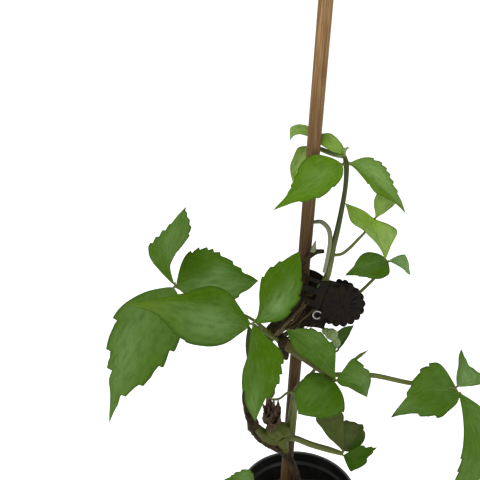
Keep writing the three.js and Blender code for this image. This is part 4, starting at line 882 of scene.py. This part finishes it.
grow_leaf(
    "leaf_low_right", "dull_leaf", dull_top,
    [(-14, -13.5, 149), (-6, -13, 148.5), (5, -15, 145), (19, -17, 141.5), (27.5, -19, 140)],
    [2.4, 2.2, 2.2, 2.2, 1.6],
    dict(
        base=(28.5, -19.5, 142.5), tip=(12, -14, 181), face=(-0.3, -0.85, 0.4),
        left=(1.5, 3.5, 6, 7.5, 8.5), right=(1.5, 3.5, 6, 8.5, 10.5),
        bow=1, arch=3, fresh_and_shaded=0,
    ),
    dict(
        base=(29, -19, 142.5), tip=(43, -9, 157.5), face=(-0.1, -0.9, 0.4),
        left=(3.5, 6.5, 9.5, 12.5, 12), right=(3.5, 4.5, 6, 6.5, 5),
        arch=2, cuts=((0.8, 0.9), (0.85, 0.95)), tooth=1.4, fresh_and_shaded=(0.2, 0.7),
        sheen_patches=[(-0.4, 0.5, 0.5, 0.4, 0.4)],
    ),
    dict(
        base=(28.5, -20.5, 139), tip=(50.5, -24, 150), face=(0.1, -0.7, 0.7),
        left=(2, 3.5, 5, 6, 4), right=(9.5, 9, 8, 6.5, 3),
        bow=2, arch=3, cuts=((0.7, 0.88), (0.65, 0.87)), tooth=1.6, fresh_and_shaded=1,
    ),
)
grow_leaf(
    "leaf_low_left", "leaf", leaf_top,
    [(0, -8, 82), (-10, -15, 98), (-21, -23, 111), (-30, -29, 119.5)],
    [1.2, 1, 1, 1],
    dict(
        base=(-32.6, -30, 120.7), tip=(-56.7, -44, 139), face=(0, -0.8, 0.6),
        left=(4, 7, 9, 9.5, 6.5), right=(1, 3, 8, 8, 5.5),
        bow=3, arch=4, cuts=((), (0.35, 0.67, 0.8, 0.86)), tooth=1.3, fresh_and_shaded=0.5,
        sheen_patches=[(0.2, 0.5, 0.6, 0.4, 0.5)],
    ),
)
grow_leaf(
    "leaf_small_mid", "dull_leaf", dull_top,
    [(13.5, -12, 218), (17, -12, 219.5), (20.5, -11.2, 221)],
    [0.9, 0.9, 0.7],
    dict(
        base=(21.1, -11, 221.9), tip=(31.1, -6.5, 238), face=(-0.3, -0.9, 0.3),
        left=(3, 5.5, 7, 6.5, 4.5), right=(0.5, 1, 1, 1, 0.5),
        arch=1, fresh_and_shaded=0.9, sheen_patches=[(-0.5, 0.5, 0.6, 0.5, 0.5)],
    ),
)
grow_leaf(
    "leaf_right_upper", "young_leaf", young_top,
    [
        (13.5, -11, 291.5), (18.9, -10.5, 292.2), (23.7, -9.6, 295.7), (28.6, -8.6, 301),
        (33.5, -7.6, 306.6), (37.7, -6.9, 314.2),
    ],
    [1, 1, 1, 0.95, 0.7, 0.5],
    dict(
        hub=(48.1, -5.9, 285.7), base=(47.5, -6, 286.5), tip=(19.5, -7, 324.8),
        face=(0.15, -0.9, 0.4),
        left=(1, 2.5, 4.5, 6, 7.5), right=(4.5, 12, 9.5, 4.5, 3),
        bow=4, arch=3, fold=0.3, fresh_and_shaded=(0.2, 0.5), yellow=0.15, sheen_patches=[(0.5, 0.3, 0.5, 0.2, 0.6)],
    ),
    dict(
        base=(39.5, -5.8, 314.8), tip=(48.9, 1.5, 329.8), face=(0.2, -0.9, 0.3),
        left=(2.5, 5.5, 8, 9, 8), right=(1, 2.5, 3.5, 5, 5.5),
        arch=2, fresh_and_shaded=0.2, sheen_patches=[(0.2, 0.5, 0.8, 0.5, 0.4)],
    ),
)
grow_leaf(
    "leaf_right_mid", "leaf", leaf_top,
    [
        (-26, -10, 229), (-19.5, -4, 229), (-12.5, 3, 230), (-4, 6.5, 230), (10, 8, 233),
        (24, 7, 243), (36, 5, 257), (45, 2.5, 270), (50.5, 0, 281),
    ],
    [1.3, 1.2, 1.1, 1.1, 1.1, 1.1, 1.1, 1, 0.9],
    dict(
        hub=(51.8, 0, 282.2), base=(51, 0, 282), tip=(22.5, -8, 276), face=(0, -0.75, 0.65),
        left=(8, 10.5, 11, 8.5, 4.5), right=(4, 6.5, 8, 7, 3),
        bow=1, arch=4, cuts=((0.6, 0.77), (0.75,)), tooth=0.6, fresh_and_shaded=(0.6, 0.35),
        sheen_patches=[(0.1, 0.5, 0.5, 0.3, 0.25)],
    ),
    dict(
        base=(52, 0, 282.5), tip=(67.5, 3, 270.5), face=(0.35, -0.75, 0.55),
        left=(3.5, 6.5, 8.5, 5.5, 2.5), right=(0.5, 0.5, 0.5, 0.5, 1),
        arch=2, cuts=((0.4,), ()), tooth=0.6, fresh_and_shaded=0, sheen_patches=[(0, 0.5, 1.4, 0.9, 1.3)],
    ),
)
grow_leaf(
    "leaf_top_left", "leaf", fresh_top,
    [(16.5, -13, 351.5), (15.5, -13.4, 351.6)],
    [1.3, 1],
    dict(
        base=(15, -13.5, 351.5), tip=(-25, -24, 327), face=(0, -0.8, 0.6),
        left=(7.5, 11, 13, 11, 5), right=(7.5, 11.5, 10.5, 6, 1),
        bow=2, arch=4, fold=0.3, cuts=((0.26, 0.5, 0.68), (0.5, 0.58, 0.67, 0.75)), tooth=0.9,
        fresh_and_shaded=(1, 0.95), sheen_patches=[(-0.05, 0.4, 0.5, 0.25, 0.35)],
    ),
)
grow_leaf(
    "leaf_top_right", "leaf", fresh_top,
    [(18, -13, 351.5), (20, -12.6, 351.7)],
    [1.3, 1],
    dict(
        hub=(18.8, -12.9, 351.6), base=(19.5, -12.7, 351.7), tip=(57, -6, 318),
        face=(0.2, -0.85, 0.5),
        left=(8, 11, 10, 7, 3.5), right=(1, 3, 5.5, 3.5, 1),
        arch=4, fold=0.3, cuts=((0.18, 0.29, 0.38, 0.47, 0.57, 0.69), (0.3,)), tooth=1.1,
        fresh_and_shaded=(0.1, 0.6), sheen_patches=[(-0.45, 0.4, 0.4, 0.35, 0.75)],
    ),
)
grow_leaf(
    "leaf_tip_front", "young_leaf", young_top,
    [(16.3, -12.4, 355.5), (15.4, -11.6, 356.8)],
    [1.1, 0.8],
    dict(
        base=(15.3, -11.4, 357), tip=(1, 3.5, 366), face=(-0.4, -0.75, 0.5),
        left=(1.5, 3, 3.5, 4, 4.5), right=(3.5, 4.5, 5, 4.5, 1.5),
        arch=3, fold=0.25, fresh_and_shaded=0.7,
    ),
)
grow_leaf(
    "leaf_tip_back", "young_leaf", young_top,
    [
        (16.3, -12.2, 355.5), (11, -7, 355.6), (5, 0, 356.3), (0, 4.5, 357.5),
        (-1.2, 5.9, 361.5), (0.5, 6.2, 365.6),
    ],
    [1.1, 1.5, 1.5, 0.9, 0.8, 0.8],
    dict(
        base=(-0.7, 6, 365.9), tip=(-14.6, 2.5, 361), face=(0, -0.7, 0.7),
        left=(6, 7.5, 7.5, 5, 2), right=(2.5, 2, 2, 2.5, 3.5),
        bow=5, arch=2, fold=0.3, fresh_and_shaded=0.4, sheen_patches=[(0.2, 0.5, 0.5, 0.4, 0.3)],
    ),
    dict(
        hub=(0, 4.5, 357.5), base=(-4.9, 5.2, 357.2), tip=(-12.3, 1.5, 335.8),
        face=(-0.2, -0.9, 0.3),
        left=(2.5, 4, 4.5, 4.5, 3), right=(3.5, 4, 4, 4, 2.5),
        bow=0.5, arch=2, fold=0.25, fresh_and_shaded=0.1, sheen_patches=[(-0.4, 0.5, 0.6, 0.5, 0.5)],
    ),
    stalks=tip_stem,
)
grow_leaf(
    "leaf_twining", "leaf", leaf_top,
    [
        (8.2, -13.5, 281), (9.8, -13, 291), (10.8, -12.5, 302), (9.8, -10.5, 309),
        (6.2, -6, 311.8), (2.5, 0, 309.5), (0, 5, 307),
    ],
    [1.1, 1.2, 1.35, 1.5, 1.45, 1.2, 0.8],
    dict(
        base=(-0.5, 5.7, 306.5), tip=(-1, 8, 294), face=(0, 1, 0.2),
        left=(1, 2, 2.5, 2, 1), right=(1, 2, 2.5, 2, 1),
        arch=1, wave=0.1, fresh_and_shaded=0.5,
    ),
    stalks=pale_stalk,
)

# A dry brown tendril grips the cane above the clip, and a small stub of a bud
# stands on it. A pointed bud grows between the middle and the right-hand leaves.
bm = new_mesh()
tube(
    bm,
    [
        (-4, 4.8, 286), (-9.5, 3, 285), (-11.4, -2.5, 283.5), (-9, -7.6, 281.8),
        (-5.6, -9.2, 283.2), (-2, -9.5, 289), (3.6, -9.5, 293.2), (8, -8.9, 293.4),
    ],
    [0.6, 0.8, 0.9, 1.2, 1.4, 1.5, 1.6, 1.3],
    sides=14, per_span=8, rough=0.16,
)
piece("brown_tendril", bm, [bark], "dry_tendril")
bm = new_mesh()
tube(
    bm, [(1.2, -9.2, 293.5), (1.5, -9.2, 296), (1.9, -9.2, 298.5), (2.6, -9, 301)], [2, 1.5, 0.9, 0.2],
    sides=14, per_span=8, ribs=3, rib_depth=0.1,
)
piece("little_bud", bm, [pale_stalk], "stub_bud")
bm = new_mesh()
tube(
    bm, [(26.8, -12.9, 203.6), (31, -13, 213.5), (36, -12.6, 218.5), (41, -12, 222)], [0.9, 1, 1.2, 0.15],
    sides=14, per_span=7, ribs=3, rib_depth=0.12,
)
piece("long_bud", bm, [stalk_green], "pointed_bud")

# The woolly buds are pale and downy. They sit on a short side shoot just below the
# clip.
BUDS = [
    ((18.8, -13.5, 229.5), (3, 2.6, 4.6), -0.25), ((15.4, -13.8, 235.6), (4.3, 3.4, 4.7), -0.5),
    ((11.6, -13.4, 237.6), (2.6, 2.4, 3.2), -0.9),
]
HAIRS = 150
down = two_tone(
    "down", 0.9, (900, 4, 0.7), (84, 108, 56), (156, 176, 118), (0.8, 0.0005),
    Sheen_Weight=0.2, Sheen_Roughness=0.4,
)

random.seed(3)
bm = new_mesh()
for f in tube(
    bm,
    [(1.5, -11.5, 199.5), (7, -12, 208), (12.5, -13, 217), (18.5, -13.5, 225), (19, -13.5, 231)],
    [1.3, 1.1, 1, 1.1, 1.2], sides=12, ribs=4,
):
    f.material_index = 1
for place, size, tilt in BUDS:
    spot = stretched(place, size, Matrix.Rotation(tilt, 4, "Y"))
    lump = bmesh.ops.create_uvsphere(bm, u_segments=28, v_segments=20, radius=1)["verts"]
    for vert in lump:
        around = math.atan2(vert.co.y, vert.co.x)
        pleat = 1 + 0.06 * math.cos(4 * around) * (1 - vert.co.z ** 2)
        vert.co = Vector((vert.co.x * pleat, vert.co.y * pleat, vert.co.z)) * 0.92
        vert.co *= 1 + 0.08 * noise.noise(vert.co * 3)
    bmesh.ops.transform(bm, matrix=spot, verts=lump)
    for _ in range(HAIRS):
        way = Vector((random.gauss(0, 1), random.gauss(0, 1), random.gauss(0, 1))).normalized()
        root = spot @ (way * 0.9)
        lean = (way + Vector((0, 0, 0.7))).normalized().to_track_quat("Z", "Y")
        hair = Matrix.Translation(root) @ lean.to_matrix().to_4x4() @ Matrix.Translation((0, 0, 0.35))
        bmesh.ops.create_cone(bm, segments=3, radius1=0.09, radius2=0.01, depth=0.7, matrix=hair)
piece("downy_buds", bm, [down, stalk_green], "woolly_buds")

# Dried bud scales stand in a papery brown tuft on the elbow of the lower shoot.
TUFT_FOOT = Vector((-22.5, -17.5, 165))
TUFT_TIPS = [
    (-29.5, -19, 184), (-27, -20, 191), (-25, -19, 194), (-22, -21, 190), (-19, -18, 188),
    (-16.5, -19, 181), (-29, -21, 178), (-25.5, -22, 184), (-21, -22, 182), (-17, -21, 176),
]
paper, tree, shader = finish("dry_scale", 0.85)
ribbing = drawn_out(tree, place_on(tree, "UV"), (14, 0.6), 2, 4)
shade = mix(tree, spread(tree, ribbing, 0.35, 0.65), (30, 22, 10), (88, 64, 36))
blot = speckle(tree, place_on(tree), 240)
shade = mix(tree, spread(tree, blot, 0.5, 0.7, 0, 0.7), shade, (34, 24, 12))
feed(shader, "Base Color", shade)
relief(shader, ribbing, 0.6, 0.0004)
bm = new_mesh()
for k, tip in enumerate(TUFT_TIPS):
    lean = (k % 5) / 2 - 1
    width = random.uniform(2.6, 3.8)
    leaflet(
        bm, TUFT_FOOT, TUFT_FOOT.lerp(Vector(tip), 0.04), tip, (0.8 * lean, -0.9, 0.2),
        [width * share for share in (0.6, 0.9, 1, 0.9, 0.4)],
        [width * share for share in (0.6, 0.95, 1, 0.8, 0.5)],
        fold=0.45, cuts=((0.62, 0.86), (0.7,)), tooth=1.2, wave=0.9, arch=1.2 * lean,
        sides=8, seed=k,
    )
tube(bm, [(-24, -14, 152), (-23.5, -16, 159), TUFT_FOOT, (-22.5, -18, 171)], [2, 3, 3.6, 2], rough=0.3)
for f in bm.faces:
    f.material_index = 0
piece("papery_scales", bm, [paper], "bud_scales")

# The clip is a small claw clip in dark brown plastic. Two toothed jaws close round
# the stems, a fan-shaped grip stands on each, and a sprung steel pin joins them.
HINGE = Vector((6.5, -7, 250))
LEAN = math.radians(16)
CLIP_FRAME = Matrix.Translation(HINGE) @ Matrix.Rotation(LEAN, 4, "Y")
TOOTH_GAPS = [(2, 6.5), (11, 15), (19, 23)]
FAN_CENTRE = (11, 11.2)
FAN_RADIUS = 15.6
FAN_SPREAD = math.radians(235)
LOBES = 11
JAW_WALL = 1.5
KNUCKLE_RADIUS = 2.1
PIN_RADIUS = 0.9
PIN_HEAD_RADIUS = 1.6
WIRE_RADIUS = 0.45

brown_plastic, tree, shader = finish("brown_plastic", 0.7, Specular_IOR_Level=0.15)
where = place_on(tree)
grime = speckle(tree, where, 240, 5, 0.65)
shade = mix(tree, spread(tree, grime, 0.35, 0.75), (9, 8, 4), (44, 36, 22))
feed(shader, "Base Color", shade)
feed(shader, "Roughness", spread(tree, grime, 0.3, 0.7, 0.6, 0.85))
relief(shader, speckle(tree, where, 700, 4), 0.4, 0.0004)
steel, tree, shader = finish("bright_steel", 0.28, Metallic=1.0)
where = place_on(tree)
worn = speckle(tree, where, 600, 4)
feed(shader, "Base Color", mix(tree, worn, (170, 172, 172), (222, 222, 220)))
feed(shader, "Roughness", spread(tree, worn, 0.3, 0.7, 0.2, 0.42))


def fan(bm, level, way, scale=1.0):
    """The grip: a ribbed scallop with a bead at the end of each rib."""
    radius = FAN_RADIUS * scale
    verts, faces = sheet(bm, LOBES * 12, 22)
    for vert in verts:
        angle = FAN_SPREAD * vert.co.x
        share = vert.co.y + 0.5
        lobe = abs(math.sin(math.pi * (vert.co.x + 0.5) * LOBES))
        reach = radius * (0.06 + 0.94 * share) * (1 - 0.1 * (1 - lobe ** 0.7) * share ** 3)
        swell = 1.3 + 0.5 * lobe ** 0.8 * min(share * 2.2, 1)
        bead = 0.8 * math.exp(-((share - 0.9) / 0.09) ** 2) * lobe ** 2
        edge = 1 - max(0, (share - 0.93) / 0.07) ** 2
        depth = (swell + bead) * (0.25 + 0.75 * edge)
        vert.co = (
            FAN_CENTRE[0] + reach * math.cos(angle), level + way * depth,
            FAN_CENTRE[1] + reach * math.sin(angle),
        )
    bmesh.ops.recalc_face_normals(bm, faces=faces)
    if sum(f.normal.y * way for f in faces) < 0:
        bmesh.ops.reverse_faces(bm, faces=faces)
    skirt = bmesh.ops.extrude_edge_only(bm, edges=open_edges(faces))["geom"]
    for vert in only(BMVert, skirt):
        vert.co.y = level - way * 0.9
    bmesh.ops.contextual_create(bm, geom=only(BMEdge, skirt))
    root = stretched((5.5, level + way * 0.1, FAN_CENTRE[1]), (13, 2, 1.5 * radius))
    bmesh.ops.create_cube(bm, size=1, matrix=root)


def jaw(bm, midline, low, high, cuts):
    """A curved wall along the midline, with the spaces between its teeth cut out."""
    levels = sorted({low, high, 6.0, 16.0, *(v for gap in TOOTH_GAPS for v in gap)})
    levels = [v for v in levels if low <= v <= high]
    rows = []
    for bottom, top in zip(levels, levels[1:]):
        count = max(1, round((top - bottom) / 1.5))
        rows += [bottom + (top - bottom) * k / count for k in range(count)]
    rows.append(high)
    line = smooth_line([(p, q, 0) for p, q in midline], 8)
    verts, faces = sheet(bm, len(line) - 1, len(rows) - 1)
    for vert in verts:
        place = line[round((vert.co.x + 0.5) * (len(line) - 1))][0]
        vert.co = (place.x, place.y, rows[round((vert.co.y + 0.5) * (len(rows) - 1))])
    gone = []
    for f in faces:
        middle = f.calc_center_median()
        if any(middle.x < end and bottom < middle.z < top for end, bottom, top in cuts):
            gone.append(f)
    bmesh.ops.delete(bm, geom=gone, context="FACES")
    faces = [f for f in faces if f.is_valid]
    bmesh.ops.recalc_face_normals(bm, faces=faces)
    bmesh.ops.solidify(bm, geom=faces, thickness=JAW_WALL)


def clip_piece(name, bm, node, body="planter"):
    """Rounds the edges of a jaw and stands it in its place on the stems."""
    bmesh.ops.transform(bm, matrix=CLIP_FRAME, verts=bm.verts)
    made = piece(name, bm, [brown_plastic], node, body, sharp=50)
    rounding = made.modifiers.new("rounded_edges", "BEVEL")
    rounding.width = 0.0003
    rounding.segments = 2
    rounding.limit_method = "ANGLE"
    rounding.angle_limit = math.radians(50)


def barrel(bm, radius, low, high):
    """A short round bar along the pin's line."""
    bmesh.ops.create_cone(
        bm, cap_ends=True, segments=28, radius1=radius, radius2=radius, depth=high - low,
        matrix=Matrix.Translation((0, 0, (low + high) / 2)),
    )


def web(bm, near, far, low, high):
    """The plate that ties a knuckle to its jaw."""
    plate = stretched((0, (near + far) / 2, (low + high) / 2), (2.2, far - near, high - low))
    bmesh.ops.create_cube(bm, size=1, matrix=plate)


bm = bmesh.new()
jaw(
    bm, [(6, -7.5), (2, -7.2), (-5, -9.2), (-12, -9.2), (-18, -6), (-21, -2)], -9, 25,
    [(-7, *gap) for gap in TOOTH_GAPS] + [(-10, -12, 6), (-16, 5, 16)],
)
fan(bm, -7.5, -1)
for low, high in ((-9, -5.5), (15.5, 19)):
    barrel(bm, KNUCKLE_RADIUS, low, high)
    web(bm, -7.5, -1, low, high)
clip_piece("front_claw", bm, "clip_front_jaw")
bm = bmesh.new()
jaw(
    bm, [(6, 3.9), (2, 3.9), (-2, 8), (-7, 12.6), (-15, 13.2), (-23, 11.4), (-27, 6)], -8, 21,
    [(-12, *gap) for gap in TOOTH_GAPS] + [(-17, -12, 6), (-23, 5, 16)],
)
fan(bm, 3.9, 1, 0.82)
for low, high in ((-5, -2), (12, 15)):
    barrel(bm, KNUCKLE_RADIUS, low, high)
    web(bm, 1, 3.9, low, high)
clip_piece("back_claw", bm, "clip_back_jaw", "back_jaw")

bm = bmesh.new()
barrel(bm, PIN_RADIUS, -10.2, 20.2)
barrel(bm, PIN_HEAD_RADIUS, -10.6, -9.4)
barrel(bm, PIN_HEAD_RADIUS, 19.4, 20.6)
bmesh.ops.transform(bm, matrix=CLIP_FRAME, verts=bm.verts)
piece("steel_pin", bm, [steel], "clip_pin")
coil = []
for k in range(33):
    angle = math.tau * k / 8 - math.pi / 2
    coil.append((2 * math.cos(angle), 2 * math.sin(angle), 10.5 - 1.7 * k / 8))
coil += [(-1, -5.6, 3.8), (-1, -9.4, 3.9)]
for k in range(9):
    angle = math.pi * (0.3 + 1.55 * k / 8)
    coil.append((-2.4 + 2.7 * math.cos(angle), -10.9, 2 + 2.7 * math.sin(angle)))
bm = new_mesh()
tube(bm, coil, [WIRE_RADIUS] * len(coil), sides=12, per_span=4)
bmesh.ops.transform(bm, matrix=CLIP_FRAME, verts=bm.verts)
piece("steel_spring", bm, [steel], "clip_spring")

# The floor is plain and nearly white. It is large enough that no edge of it shows.
pale, tree, shader = finish("pale_floor", 0.9)
where = place_on(tree)
shade = mix(tree, speckle(tree, where, 3), (246, 246, 246), (250, 250, 250))
feed(shader, "Base Color", shade)
shader.inputs["Emission Color"].default_value = (1, 1, 1, 1)
shader.inputs["Emission Strength"].default_value = 0.8
bm = bmesh.new()
bmesh.ops.create_grid(bm, x_segments=1, y_segments=1, size=60)
floor = as_object("floor", bm)
floor.data.materials.append(pale)

# Plain soft studio light: a white room, one large lamp over the plant and a weaker
# one in front of it.
scene.world = bpy.data.worlds.new("studio")
scene.world.use_nodes = True
sky = scene.world.node_tree.nodes["Background"]
sky.inputs["Color"].default_value = (0.96, 0.98, 1, 1)
sky.inputs["Strength"].default_value = 0.4
for name, place, size, power in (
    ("lamp_over", (-0.35, -0.35, 1.5), 0.9, 9), ("lamp_front", (0.7, -1.3, 0.9), 1.2, 2.5),
):
    lamp = bpy.data.objects.new(name, bpy.data.lights.new(name, "AREA"))
    lamp.data.size = size
    lamp.data.energy = power
    lamp.location = place
    lamp.rotation_euler = (Vector((0, 0, 0.25)) - Vector(place)).to_track_quat("-Z", "Y").to_euler()
    scene.collection.objects.link(lamp)
scene.view_settings.view_transform = "Standard"
